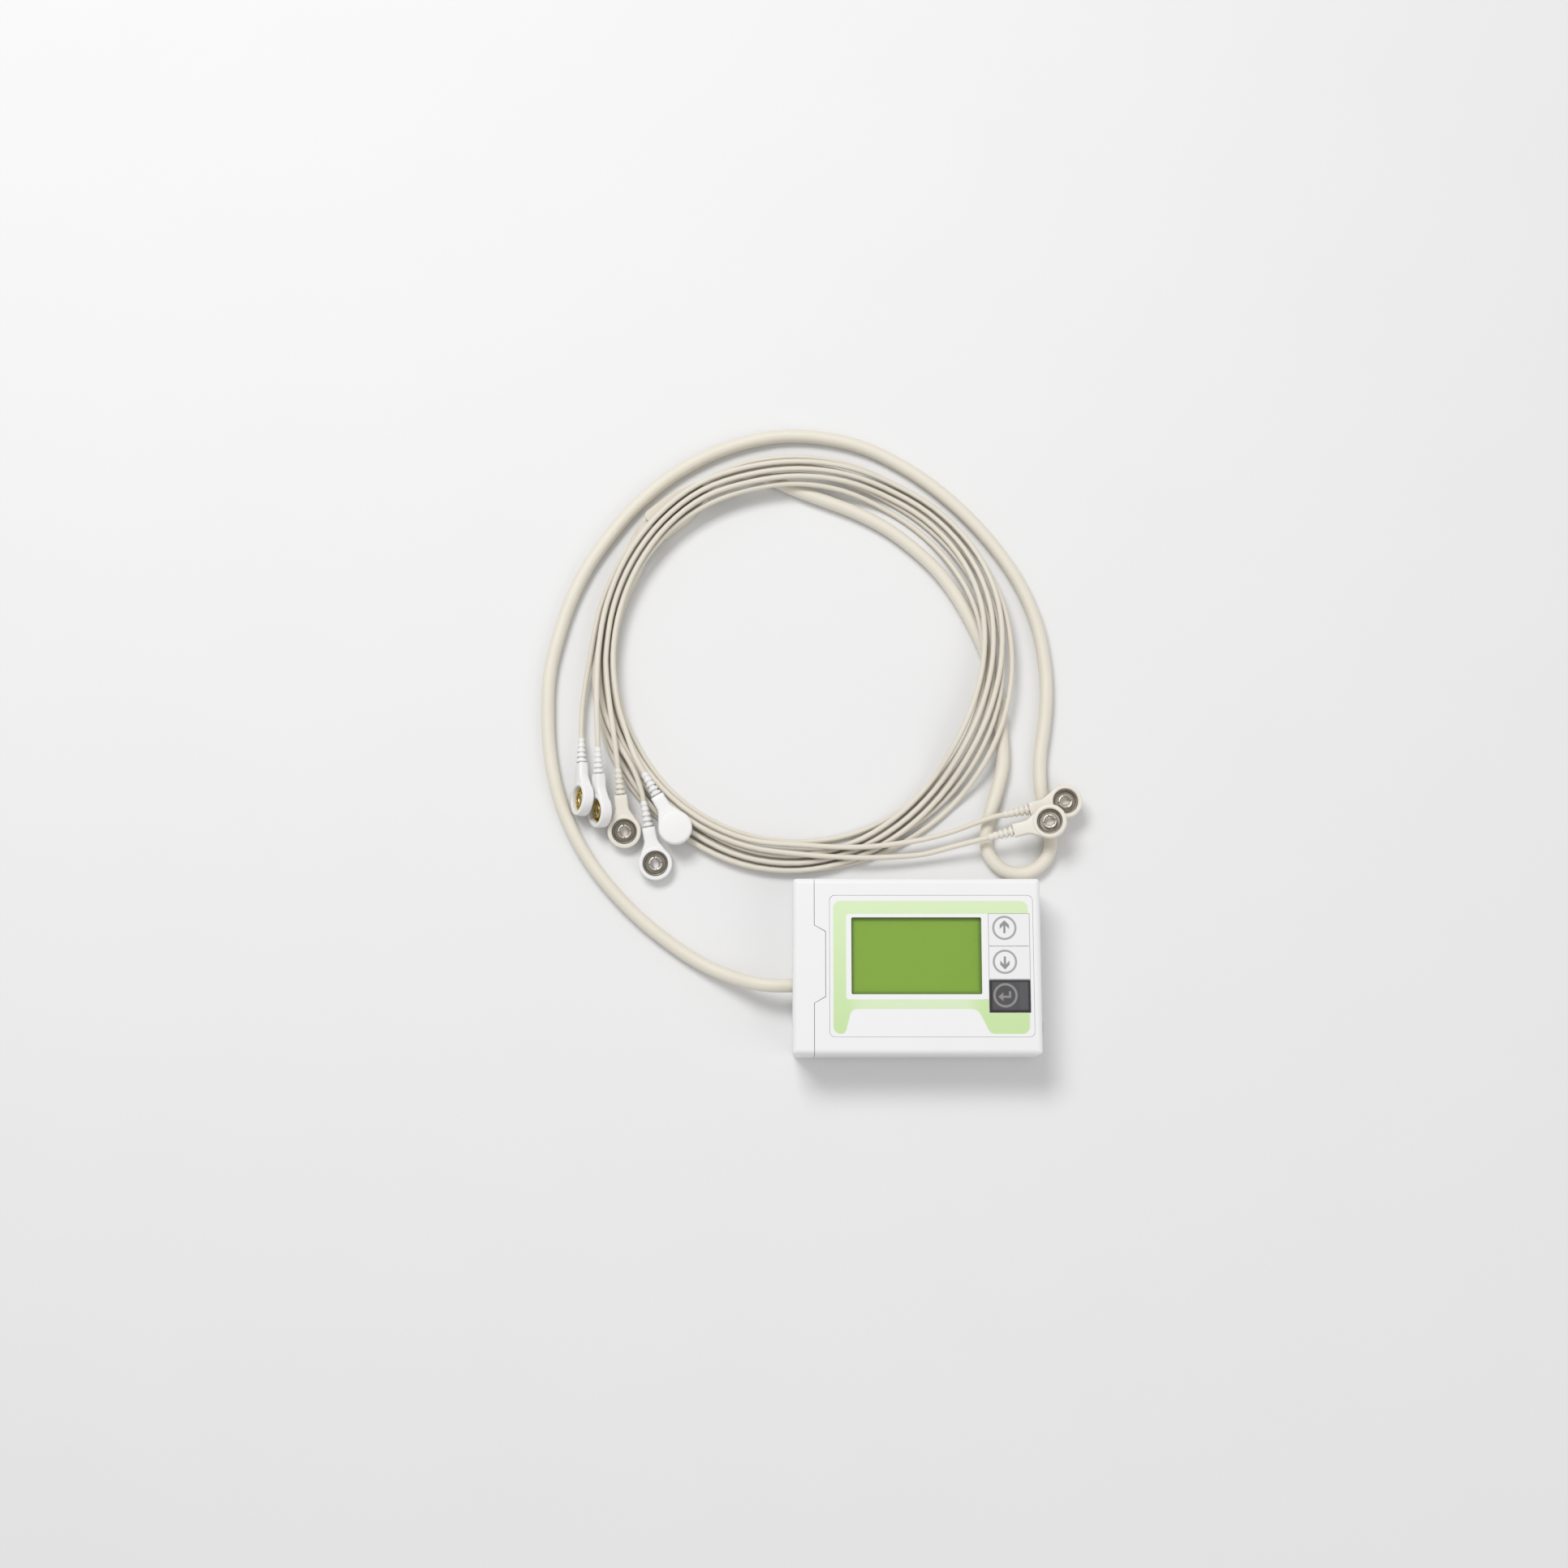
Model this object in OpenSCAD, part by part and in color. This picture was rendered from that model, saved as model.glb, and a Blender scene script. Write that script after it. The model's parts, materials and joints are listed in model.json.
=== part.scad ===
// Handheld heart-rhythm recorder: a small white case with a reflective green display and
// three keys, and its fixed patient cable, which splits into seven leads with snap clips.
// The recorder lies on its back, face up. The origin is the middle of its back, +Y points to
// the top edge of the face and +Z up out of the face. All sizes are in millimetres.

/* [Case] */
// Width of the recorder, along X
case_w = 93; // [84:1:112]
// Height of the recorder's face, along Y
case_h = 66; // [62:1:80]
// Thickness of the recorder, along Z
case_t = 24; // [24:0.5:30]
// Radius of every outer edge of the case
edge_r = 2; // [1:0.1:2.6]
// Wall of the two shells and the end cap
wall = 1.8; // [1.4:0.1:2.4]
// Height of the seam between the rear and front shells
seam_z = 13; // [11:0.5:15]
// Height of the lip inside the seam
lip_h = 1.4; // [1:0.1:2.5]
// Thickness of the lip inside the seam
lip_t = 0.8; // [0.6:0.1:1.2]
// Width of the cable end cap, from the left side to its seam
cap_w = 8.2; // [7.5:0.1:10]
// How far the end cap's tongue reaches over the face past the seam
tongue_l = 4.1; // [2.5:0.1:5]
// Gap left at a fixed seam
seam_gap = 0.15; // [0.1:0.01:0.25]

/* [Face] */
// Thickness of the printed film on the face
film_t = 0.4; // [0.3:0.05:0.6]
// Width of the display's window
window_w = 48.7; // [40:0.1:52]
// Height of the display's window
window_h = 28.8; // [22:0.1:32]
// Middle of the display's window, along Y
window_y = 3.8; // [2:0.1:6]
// Thickness of the display's clear lens
lens_t = 0.8; // [0.5:0.1:0.9]
// How far the lens reaches past the window on each side
lens_lap = 1; // [0.6:0.1:1.4]
// Thickness of the display's glass
glass_t = 1.7; // [1.2:0.1:1.8]
// Width of the key column
key_w = 15.2; // [12:0.1:15.6]
// Height of one key
key_h = 12; // [9:0.1:12.4]
// Gap between two keys
key_gap = 0.4; // [0.3:0.05:0.8]
// Gap between a key and the case
key_play = 0.2; // [0.15:0.01:0.4]
// How far a key stands proud of the film
key_proud = 0.15; // [0:0.05:0.5]
// How far a key travels when pressed
key_travel = 0.5; // [0.3:0.05:0.7]

/* [Power] */
// Diameter of the round cell
cell_d = 14.5; // [13.5:0.1:14.5]
// Length of the round cell, with its button
cell_l = 50.5; // [44:0.1:50.5]
// Gap around the cell
cell_play = 0.3; // [0.2:0.05:0.5]
// Length left for the pressed spring
spring_l = 2.2; // [1.8:0.1:3]
// Wall of the cell's bay
bay_wall = 1.2; // [0.8:0.1:1.4]
// Thickness of the battery door
door_t = 1.4; // [1.2:0.1:1.5]
// How far the door slides before its hooks are free and it lifts off
door_travel = 3; // [2:0.1:3]

/* [Board] */
// Thickness of the circuit board
board_t = 1.2; // [0.8:0.1:1.4]
// Radius of a case screw's shank
screw_r = 1; // [0.8:0.05:1.2]
// Radius of a case screw's head
screw_head_r = 1.9; // [1.5:0.1:2.3]
// Wall around a case screw's head
post_wall = 1; // [0.8:0.1:1.3]

/* [Leads] */
// Diameter of the trunk cable
trunk_d = 5.2; // [4.8:0.1:5.3]
// Diameter of one lead wire
lead_d = 2.1; // [1.8:0.05:2.15]
// Diameter of a clip's round head
clip_d = 13; // [12:0.1:13]
// Thickness of a clip's head
clip_t = 4.6; // [4.2:0.1:4.6]
// Distance from a clip's middle to its wire's entry
clip_l = 24.5; // [24.5:0.5:28]
// Radius of the hole that takes an electrode's stud
stud_hole_r = 2; // [1.9:0.05:2.2]

/* [Hidden] */
$fn = 48;
LEADS = 7;
lead_numbers = [1:LEADS];

slide_gap = 0.1;             // clearance of a fixed piece in its seat
cut = 1;                     // how far a cut runs past the face that it opens
root = 0.5;                  // how far a wall or boss is sunk into what carries it

// Case
left_x = -case_w / 2;
right_x = case_w / 2;
cap_x = left_x + cap_w;      // seam between the end cap and the shells
in_x1 = right_x - wall;
in_y = case_h / 2 - wall;
in_z0 = wall;
in_z1 = case_t - wall;
tongue_y0 = -13.8;           // ends of the end cap's tongue at the seam
tongue_y1 = 15.2;
tongue_slope = 2.4;          // how much its corners are cut back
spigot_l = 3;                // end cap's collar inside the shells
spigot_root = 2;
spigot_t = 1.2;

// Face: the film, the display and the keys
film_z = case_t - film_t;
film_to_tongue = 1.6;
film_to_side = 3;
film_to_edge = 6.6;
film_to_keys = 1.4;
film_x0 = cap_x + tongue_l + film_to_tongue;
film_x1 = right_x - film_to_side;
film_y = case_h / 2 - film_to_edge;
film_r = 2;
window_r = 0.6;
window_to_keys = 2.7;
window_step = 0.4;           // opening under the lens, wider than the window
lens_r = 1;
glass_lap_x = 1.2;           // how far the glass reaches past the window
glass_lap_y = 1.8;
keys_rise = 1.3;             // top of the upper key above the window's
keys_x1 = film_x1 - film_to_keys;
keys_x0 = keys_x1 - key_w;
keys_y1 = window_y + window_h / 2 + keys_rise;
keys_y0 = keys_y1 - 3 * key_h - 2 * key_gap;
window_x1 = keys_x0 - window_to_keys;
window_x0 = window_x1 - window_w;
window_y0 = window_y - window_h / 2;
window_y1 = window_y + window_h / 2;
flange_w = 0.8;              // key's lip under the shell, left and right
flange_t = 0.6;
flange_in = 1;               // how much shorter the lip is than its key at each end
flange_gap = 0.2;
key_pad_r = 2;
key_foot = 0.35;             // key's middle pad below its lip
switch_clear = 0.1;          // what a pressed key leaves over its switch
key_bottom = in_z1 - flange_gap - flange_t - key_foot;

// Battery bay, in the rear shell
bay_to_cap = 2.7;
contact_t = 0.4;
contact_nub = 0.5;
bay_x0 = cap_x + spigot_l + bay_to_cap;
bay_l = spring_l + cell_l + 2 * contact_t + contact_nub;
bay_x1 = bay_x0 + bay_l;
bay_y0 = -in_y + lip_t + 2 * slide_gap + bay_wall;
bay_w = cell_d + 2 * cell_play;
bay_y1 = bay_y0 + bay_w;
bay_y = (bay_y0 + bay_y1) / 2;
door_z0 = 0.2;               // the door lies just inside the back face
door_z1 = door_z0 + door_t;
cell_lift = 0.1;              // the cell clears the door's hooks, which lie on the floor
cell_z = max(door_z1 + cell_play, wall + cell_lift) + cell_d / 2;
bay_z1 = cell_z + cell_d / 2 + cell_play;
bay_roof = 0.9;
door_gap = 0.2;
bay_foot = 0.5;              // how much of the bay's end walls stands on the floor
door_lap = bay_wall - bay_foot - door_gap;  // how far the door reaches past the bay
door_x0 = bay_x0 - door_lap;
door_x1 = bay_x1 + door_lap;
door_y1 = bay_y1 + door_gap;
ridge_count = 5;             // finger ridges in the door
ridge_l = 14;
ridge_w = 0.8;
ridge_step = 1.6;
ridge_depth = 0.4;
ridge_y = 6 - case_h / 2;
hook_w = 8;
hook_free = 0.4;             // how far past its hooks' grip the door slides
hook_l = door_travel - hook_free;
hook_t = 0.8;
hook_root = 0.9;
hook_z = wall + slide_gap;
hook_x = [bay_x0 + bay_l / 4, bay_x1 - bay_l / 4];
cell_x0 = bay_x0 + contact_t + spring_l;
button_l = 1;
button_r = 2.6;
contact_nub_r = 2;
contact_w = 10;
spring_plate_w = 12;
spring_turns = 3;
spring_wire_r = 0.25;
spring_r0 = 4.6;             // radius at the plate
spring_r1 = 2;               // radius at the cell

// Board stack, above the bay
board_gap = 0.2;             // between the bay's roof and the board
board_to_cap = 0.5;
board_to_side = 1.2;
board_z = bay_z1 + bay_roof + board_gap;
board_top = board_z + board_t;
board_x0 = cap_x + spigot_l + board_to_cap;
board_x1 = in_x1 - board_to_side;
board_y = in_y - board_to_side;
switch_w = 6;
switch_nub_r = 1.7;
switch_nub_h = 0.3;
switch_top = key_bottom - key_travel - switch_clear;
glass_z1 = in_z1 - slide_gap;
glass_z0 = glass_z1 - glass_t;
head_gap = 0.3;              // around a screw's head and past its tip
post_gap = 0.3;              // between a screw post and what is beside it
post_r = screw_head_r + head_gap + post_wall;
post_x0 = cap_x + spigot_l + post_r + post_gap;
post_x1 = in_x1 - lip_t - slide_gap - post_r - post_gap;
post_y1 = in_y - lip_t - slide_gap - post_r - post_gap;
screw_places = [
    [post_x0, post_y1],
    [post_x1, post_y1],
    [bay_x1 + bay_wall + post_r + post_gap, -post_y1],
    [post_x0, bay_y1 + bay_wall + post_r + post_gap]];
screw_floor = 1;             // seat of a screw's head, below the seam
screw_seat = seam_z - screw_floor;
boss_wall = 1.5;
boss_r = screw_r + boss_wall;
screw_head_h = 1.4;
slot_l = 2.4;                // cross in a screw's head
slot_w = 0.5;
screw_end = in_z1 - 0.5;

// On the underside of the board: chips as x, y, width, depth and height
chips = [[-12, 2, 10, 10, 1.4], [4, -6, 7, 5, 1.1], [-20, 14, 6, 8, 1.1], [26, 10, 7, 5, 2]];
capacitor_at = [22, 20];
capacitor_r = 2.5;
capacitor_h = 6;
buzzer_at = [11, 13];
buzzer_r = 6;
buzzer_h = 3.2;
buzzer_hole_r = 1;
buzzer_hole_h = 0.8;
header_x = 0.6;              // from the board's left edge
header_l = 5.8;
header_w = 15;
header_h = 6;
header_wall = 1;

// Charging and data port, in the right side
usb_w = 7.7;
usb_h = 3.9;
usb_l = 9.2;
usb_wall = 0.4;
usb_back = 1;
usb_tongue_w = 5.2;
usb_tongue_t = 0.8;
usb_tongue_in = 2;           // how far its tongue stays behind the opening
usb_rise = 3.2;              // middle of the port above the bay's lower side
usb_y = bay_y0 + usb_rise;
usb_z = board_z - usb_h / 2;
port_w = 9;
port_h = 5;
cover_w = 10.4;
cover_h = 6.6;
cover_t = 0.5;
cover_tab = 1.1;
cover_tab_w = 3.9;
cover_plug = 1.5;
plug_gap = 0.15;

// Cable exit, in the left side
exit_y = -6.4;
exit_z = case_t / 2;
trunk_r = trunk_d / 2;
gland_wall = 0.9;
gland_flange = 1.2;          // how far its flange reaches past its sleeve
gland_r = trunk_r + gland_wall;
gland_flange_r = gland_r + gland_flange;
gland_flange_t = 1.2;
crimp_t = 1;
anchor_end = 0.6;
anchor_x1 = cap_x - 0.3;

// Lead splitter: where the trunk ends and the leads start
split_in = [-81.2, 191.5];
split_dir = 218;
split_l = 26;
split_h = 6.2;
split_w = 12.6;
split_w0 = 8;
split_r = 2.2;
split_heading = [cos(split_dir), sin(split_dir), 0];
split_out = split_in + split_l * [split_heading[0], split_heading[1]];
meet_gap = 0.02;             // hairline between a cord's end face and what it meets

// The leads lie in one loop: four lanes below and three above
lead_r = lead_d / 2;
loop_c = [-44, 123];
loop_r = 77;
loop_sag = 1.5;              // how much lower than a circle the loop hangs
layer_z = [1.05, 3.3];
lane_of = [-3.9, -1.3, 1.3, 3.9, -2.6, 0, 2.6];
layer_of = [0, 0, 0, 0, 1, 1, 1];
loop_step = 15;
lane_start = 150;
lane_end = [615, 615, 557, 533, 562, 545, 528];
over_trunk = 5.5;            // the loop climbs over the trunk cable on the right
over_split = 6.5;            // and over the splitter on the left
over_self = 4.5;             // and then lies on its own first turn
trunk_up = [316, 333];       // angles of the run between which each of these happens
trunk_down = [379, 398];
split_up = [418, 446];
self_down = [500, 520];
drift_size = [0.6, 1.9];     // sideways drift of the lower and the upper lanes
drift_rate = [1.3, 1.7];
drift_start = [0, 60];
spread_size = [0, 0.1];      // how much their spacing varies
spread_rate = 2.3;
fan_in = [178, 216];         // angles of the run between which the lanes fan out and close again
fan_out = [462, 492];
fan_size = [0.38, 0.22];     // how much wider the lanes lie in between
sway_size = [0.4, 2.3];      // and how much further they drift there
sway_rate = 2.9;
sway_start = [120, 40];
port_rise = 0.4;             // leads leave the splitter this much above their lanes
straight = 1.5 * lead_d;     // straight end of each lead
first_bend = 6;              // how firmly a lead turns from the splitter into its lane

// Places of the seven clips: x, y, z, heading, nose-down pitch, roll
clip_at = [
    [58.7, 64.8, 7.7, 12, 0, 0],
    [52.1, 56.3, 12.9, 13.5, -9.5, 0],
    [-99.3, 41.4, 3.4, -79, 8, 0],
    [-127.65, 66, 7.1, -88, -6, 60],
    [-91.5, 54.5, 9.1, -60, 2.5, 180],
    [-111.4, 53.9, 3.8, -84, 12, 0],
    [-120.75, 61.4, 7.4, -88, 8, 58]];

// Route of the trunk cable, from the recorder to just before the splitter
trunk_points = [
    [left_x - meet_gap, exit_y, exit_z], [left_x - 6.5, exit_y, exit_z], [-60, -5.6, 10.6],
    [-67, -3.6, 7.8], [-75, -0.5, 4.8], [-83, 3.6, 3.2], [-92, 9.5, 2.6], [-104, 19, 2.6],
    [-115, 30, 2.6], [-124.5, 42, 2.6], [-132, 55, 2.6], [-137.5, 69, 2.6],
    [-140.8, 84, 2.6], [-142, 100, 2.6], [-141.6, 116, 2.6], [-138.5, 131, 2.6],
    [-134, 145.5, 2.6], [-127.5, 159.5, 2.6], [-118.5, 173, 2.6], [-108, 185.5, 2.6],
    [-95.5, 196.5, 2.6], [-81.5, 205, 2.6], [-66.5, 210.8, 2.6], [-50.5, 213.8, 2.6],
    [-34, 213, 2.6], [-18, 209, 2.6], [-3, 201.5, 2.6], [10.5, 192, 2.6],
    [23, 180.5, 2.6], [34, 167.5, 2.6], [43, 153.5, 2.6], [49.3, 138, 2.6],
    [52.4, 122, 2.6], [53, 108, 2.6], [51.8, 95, 2.6], [50, 83, 2.6], [50, 71, 2.6],
    [52, 60, 2.6], [53.5, 50, 2.6],
    [52.6, 45.2, 2.6], [49.8, 41.2, 2.6], [45.8, 38.5, 2.6], [41, 37.5, 2.6],
    [36.2, 38.5, 2.6], [32.2, 41.2, 2.6], [29.4, 45.2, 2.6], [28.5, 50, 2.6],
    [30, 60, 2.6], [33, 70, 2.6], [35.4, 80, 2.6], [35.4, 91, 2.6], [34.2, 102, 2.6],
    [32.6, 113, 2.6], [29.8, 124, 2.6], [24.8, 136, 2.6], [18.3, 148, 2.6],
    [10.8, 158.3, 2.6], [1.5, 167.4, 2.6], [-9, 175.5, 2.6], [-21, 182, 2.6],
    [-34, 187.2, 2.6], [-46, 191.8, 2.6], [-55, 196, 2.6], [-62.5, 198.6, 2.6],
    [-70, 198.4, 2.6]];

// Where leads 1 and 2 leave the loop for the clips on the right
right_route = [
    [[-42, 48.2, 5.7], [-22, 47.4, 5.7], [-6, 48.8, 5.7], [6, 50.9, 5.9], [16, 53.7, 6.2],
     [25, 57, 7]],
    [[-42, 44.6, 5.7], [-22, 43.4, 5.7], [-7, 43.8, 5.2], [4, 44.8, 4.8], [14, 47.2, 6.4]]];

// ---- helpers ----

function unit(v) = v / norm(v);
function smooth(a, b, t) =
    let (k = min(1, max(0, (t - a) / (b - a)))) k * k * (3 - 2 * k);
function total(list) = [for (x = list) 1] * list;

// Cubic from p0 to p1 that leaves along v0 and arrives along v1, without its two ends
function bridge(p0, v0, p1, v1, n) = [for (k = [1:n - 1])
    let (t = k / n, a = 2 * pow(t, 3) - 3 * t * t + 1, b = pow(t, 3) - 2 * t * t + t,
         c = 3 * t * t - 2 * pow(t, 3), d = pow(t, 3) - t * t)
    a * p0 + b * v0 + c * p1 + d * v1];

// Rounded rectangle from corner a to corner b
module plate2(a, b, r) {
    translate([a[0] + r, a[1]]) square([b[0] - a[0] - 2 * r, b[1] - a[1]]);
    translate([a[0], a[1] + r]) square([b[0] - a[0], b[1] - a[1] - 2 * r]);
    for (x = [a[0] + r, b[0] - r], y = [a[1] + r, b[1] - r]) translate([x, y]) circle(r);
}

module plate(a, b, z0, z1, r) translate([0, 0, z0]) linear_extrude(z1 - z0) plate2(a, b, r);

module block(a, b) translate(a) cube(b - a);

module rod_x(x0, x1, y, z, r) translate([x0, y, z]) rotate([0, 90, 0]) cylinder(h = x1 - x0, r = r);

module rod_z(x, y, z0, z1, r) translate([x, y, z0]) cylinder(h = z1 - z0, r = r);

// The whole case as one solid with every edge rounded
module case_body() intersection() {
    plate([left_x, -case_h / 2], [right_x, case_h / 2], 0, case_t, edge_r);
    translate([0, case_h / 2, 0]) rotate([90, 0, 0])
        linear_extrude(case_h) plate2([left_x, 0], [right_x, case_t], edge_r);
    translate([left_x, 0, 0]) rotate([90, 0, 90])
        linear_extrude(case_w) plate2([-case_h / 2, 0], [case_h / 2, case_t], edge_r);
}

// Outline of the end cap's tongue on the face, grown by the seam's gap for the shell's notch
module tongue2(grow) polygon([
    [cap_x - cut, tongue_y0 - grow], [cap_x, tongue_y0 - grow],
    [cap_x + tongue_l + grow, tongue_y0 + tongue_slope - grow],
    [cap_x + tongue_l + grow, tongue_y1 - tongue_slope + grow],
    [cap_x, tongue_y1 + grow], [cap_x - cut, tongue_y1 + grow]]);

module at_screws() for (p = screw_places) translate([p[0], p[1], 0]) children();

// ---- case ----

module bay_box(grow, z0, z1)
    block([bay_x0 - grow, bay_y0 - grow, z0], [bay_x1 + grow, bay_y1 + grow, z1]);

module door_outline(gap)
    block([door_x0 - gap, -case_h / 2 - cut, -cut], [door_x1 + gap, door_y1 + gap, door_z1 + gap]);

module rear_shell() color("#f1efec") difference() {
    union() {
        difference() {
            intersection() {
                case_body();
                block([cap_x, -case_h, -cut], [case_w, case_h, seam_z]);
            }
            block([cap_x - cut, -in_y, in_z0], [in_x1, in_y, seam_z + cut]);
        }
        bay_box(bay_wall, in_z0 - root, bay_z1 + bay_roof);
        at_screws() rod_z(0, 0, in_z0 - root, board_z, post_r);
    }
    bay_box(0, -cut, bay_z1);
    door_outline(door_gap);
    for (x = hook_x)
        block([x - hook_w / 2 - door_gap, bay_y1 - cut, wall],
              [x + hook_w / 2 + door_gap, bay_y1 + bay_wall + cut, hook_z + hook_t + door_gap]);
    at_screws() {
        rod_z(0, 0, -cut, board_z + cut, screw_r + slide_gap);
        rod_z(0, 0, -cut, screw_seat, screw_head_r + head_gap);
    }
    port_hole();
}

module port_hole() block([in_x1 - cut, usb_y - port_w / 2, usb_z - port_h / 2],
                         [right_x + cut, usb_y + port_w / 2, usb_z + port_h / 2]);

module front_shell() color("#f6f5f3") difference() {
    union() {
        difference() {
            intersection() {
                case_body();
                block([cap_x, -case_h, seam_z], [case_w, case_h, case_t + cut]);
            }
            block([cap_x - cut, -in_y, seam_z - cut], [in_x1, in_y, in_z1]);
        }
        difference() {
            lip_frame(slide_gap, seam_z - lip_h, seam_z + lip_h);
            lip_frame(slide_gap + lip_t, seam_z - lip_h - cut, seam_z + lip_h + cut);
        }
        lip_roots();
        at_screws() rod_z(0, 0, board_top, in_z1 + root, boss_r);
    }
    translate([0, 0, in_z1 - cut]) linear_extrude(wall + 2 * cut) tongue2(seam_gap);
    plate([film_x0 - slide_gap, -film_y - slide_gap], [film_x1 + slide_gap, film_y + slide_gap],
          film_z, case_t + cut, film_r);
    plate([window_x0 - lens_lap - slide_gap, window_y0 - lens_lap - slide_gap],
          [window_x1 + lens_lap + slide_gap, window_y1 + lens_lap + slide_gap],
          film_z - lens_t, case_t, lens_r);
    block([window_x0 - window_step, window_y0 - window_step, in_z1 - cut],
          [window_x1 + window_step, window_y1 + window_step, case_t]);
    block([keys_x0 - key_play, keys_y0 - key_play, in_z1 - cut],
          [keys_x1 + key_play, keys_y1 + key_play, case_t + cut]);
    at_screws() rod_z(0, 0, board_top - cut, screw_end + head_gap, screw_r + slide_gap / 2);
    port_hole();
}

// The seam's lip follows the inside of the walls on three sides
module lip_frame(inset, z0, z1)
    block([cap_x + spigot_l + lip_t, -in_y + inset, z0], [in_x1 - inset, in_y - inset, z1]);

// Short webs that join the lip to the front shell's walls, above the seam
module lip_roots() difference() {
    block([cap_x + spigot_l + lip_t, -in_y - root, seam_z],
          [in_x1 + root, in_y + root, seam_z + lip_h]);
    lip_frame(slide_gap + lip_t, seam_z - cut, seam_z + lip_h + cut);
}

module cable_end_cap() color("#f4f2ef") difference() {
    union() {
        difference() {
            intersection() {
                case_body();
                block([-case_w, -case_h, -cut], [cap_x - seam_gap, case_h, case_t + cut]);
            }
            block([left_x + wall, -in_y, in_z0], [cap_x, in_y, in_z1]);
        }
        // collar that plugs into the two shells
        difference() {
            block([cap_x - spigot_root, -in_y + slide_gap, in_z0 + slide_gap],
                  [cap_x + spigot_l, in_y - slide_gap, in_z1 - slide_gap]);
            block([cap_x - spigot_root - cut, -in_y + spigot_t, in_z0 + spigot_t],
                  [cap_x + spigot_l + cut, in_y - spigot_t, in_z1 - spigot_t]);
        }
        collar_roots();
        intersection() {
            case_body();
            translate([0, 0, in_z1 - slide_gap - root]) linear_extrude(case_t) tongue2(0);
        }
    }
    rod_x(left_x - cut, left_x + wall + cut, exit_y, exit_z, gland_r + slide_gap);
}

// Joins the collar to the end cap's own walls
module collar_roots() difference() {
    block([cap_x - spigot_root, -in_y - root, in_z0 - root],
          [cap_x - seam_gap, in_y + root, in_z1 + root]);
    block([cap_x - spigot_root - cut, -in_y + spigot_t, in_z0 + spigot_t],
          [cap_x + cut, in_y - spigot_t, in_z1 - spigot_t]);
}

// ---- face ----

module front_overlay() color("#e4f2cf") difference() {
    plate([film_x0, -film_y], [film_x1, film_y], film_z, case_t, film_r);
    plate([window_x0, window_y0], [window_x1, window_y1], film_z - cut, case_t + cut, window_r);
    block([keys_x0 - key_play, keys_y0 - key_play, film_z - cut],
          [keys_x1 + key_play, keys_y1 + key_play, case_t + cut]);
}

module display_lens() color("#cfe0c4", 0.5)
    plate([window_x0 - lens_lap, window_y0 - lens_lap], [window_x1 + lens_lap, window_y1 + lens_lap],
          film_z - lens_t, film_z, lens_r);

module glass_block(z0, z1) block([window_x0 - glass_lap_x, window_y0 - glass_lap_y, z0],
                                 [window_x1 + glass_lap_x, window_y1 + glass_lap_y, z1]);
module display_glass() color("#8cae54") glass_block(glass_z0, glass_z1);
module display_backlight() color("#eef0ea") glass_block(board_top, glass_z0);

// One key: cap, side lips under the shell and a pad over its switch. Row 0 is the lowest.
module key(row, shade) color(shade) {
    y0 = keys_y0 + row * (key_h + key_gap);
    block([keys_x0, y0, in_z1 - flange_gap - flange_t], [keys_x1, y0 + key_h, case_t + key_proud]);
    block([keys_x0 - flange_w, y0 + flange_in, in_z1 - flange_gap - flange_t],
          [keys_x1 + flange_w, y0 + key_h - flange_in, in_z1 - flange_gap]);
    rod_z((keys_x0 + keys_x1) / 2, y0 + key_h / 2, key_bottom, in_z1 - flange_gap, key_pad_r);
}

module up_key() key(2, "#f3f2f0");
module down_key() key(1, "#f3f2f0");
module enter_key() key(0, "#56565c");

module key_switches() color("#3b3d40") for (row = [0:2]) {
    x = (keys_x0 + keys_x1) / 2;
    y = keys_y0 + row * (key_h + key_gap) + key_h / 2;
    block([x - switch_w / 2, y - switch_w / 2, board_top],
          [x + switch_w / 2, y + switch_w / 2, switch_top - switch_nub_h]);
    rod_z(x, y, board_top, switch_top, switch_nub_r);
}

// ---- inside ----

module main_board() color("#2f6b43") difference() {
    block([board_x0, -board_y, board_z], [board_x1, board_y, board_top]);
    at_screws() rod_z(0, 0, board_z - cut, board_top + cut, screw_r + 2 * slide_gap);
}

module board_chips() color("#2b2b2e") {
    for (c = chips) translate([c[0], c[1], board_z - c[4]]) cube([c[2], c[3], c[4]]);
    rod_z(capacitor_at[0], capacitor_at[1], board_z - capacitor_h, board_z, capacitor_r);
}

module buzzer() color("#202124") difference() {
    rod_z(buzzer_at[0], buzzer_at[1], board_z - buzzer_h, board_z, buzzer_r);
    rod_z(buzzer_at[0], buzzer_at[1], board_z - buzzer_h - cut,
          board_z - buzzer_h + buzzer_hole_h, buzzer_hole_r);
}

module usb_socket() color("#b9bcc0") {
    difference() {
        block([in_x1 - usb_l, usb_y - usb_w / 2, usb_z - usb_h / 2],
              [in_x1, usb_y + usb_w / 2, usb_z + usb_h / 2]);
        block([in_x1 - usb_l + usb_back, usb_y - usb_w / 2 + usb_wall, usb_z - usb_h / 2 + usb_wall],
              [in_x1 + cut, usb_y + usb_w / 2 - usb_wall, usb_z + usb_h / 2 - usb_wall]);
    }
    block([in_x1 - usb_l + usb_back / 2, usb_y - usb_tongue_w / 2, usb_z - usb_tongue_t / 2],
          [in_x1 - usb_tongue_in, usb_y + usb_tongue_w / 2, usb_z + usb_tongue_t / 2]);
}

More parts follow.
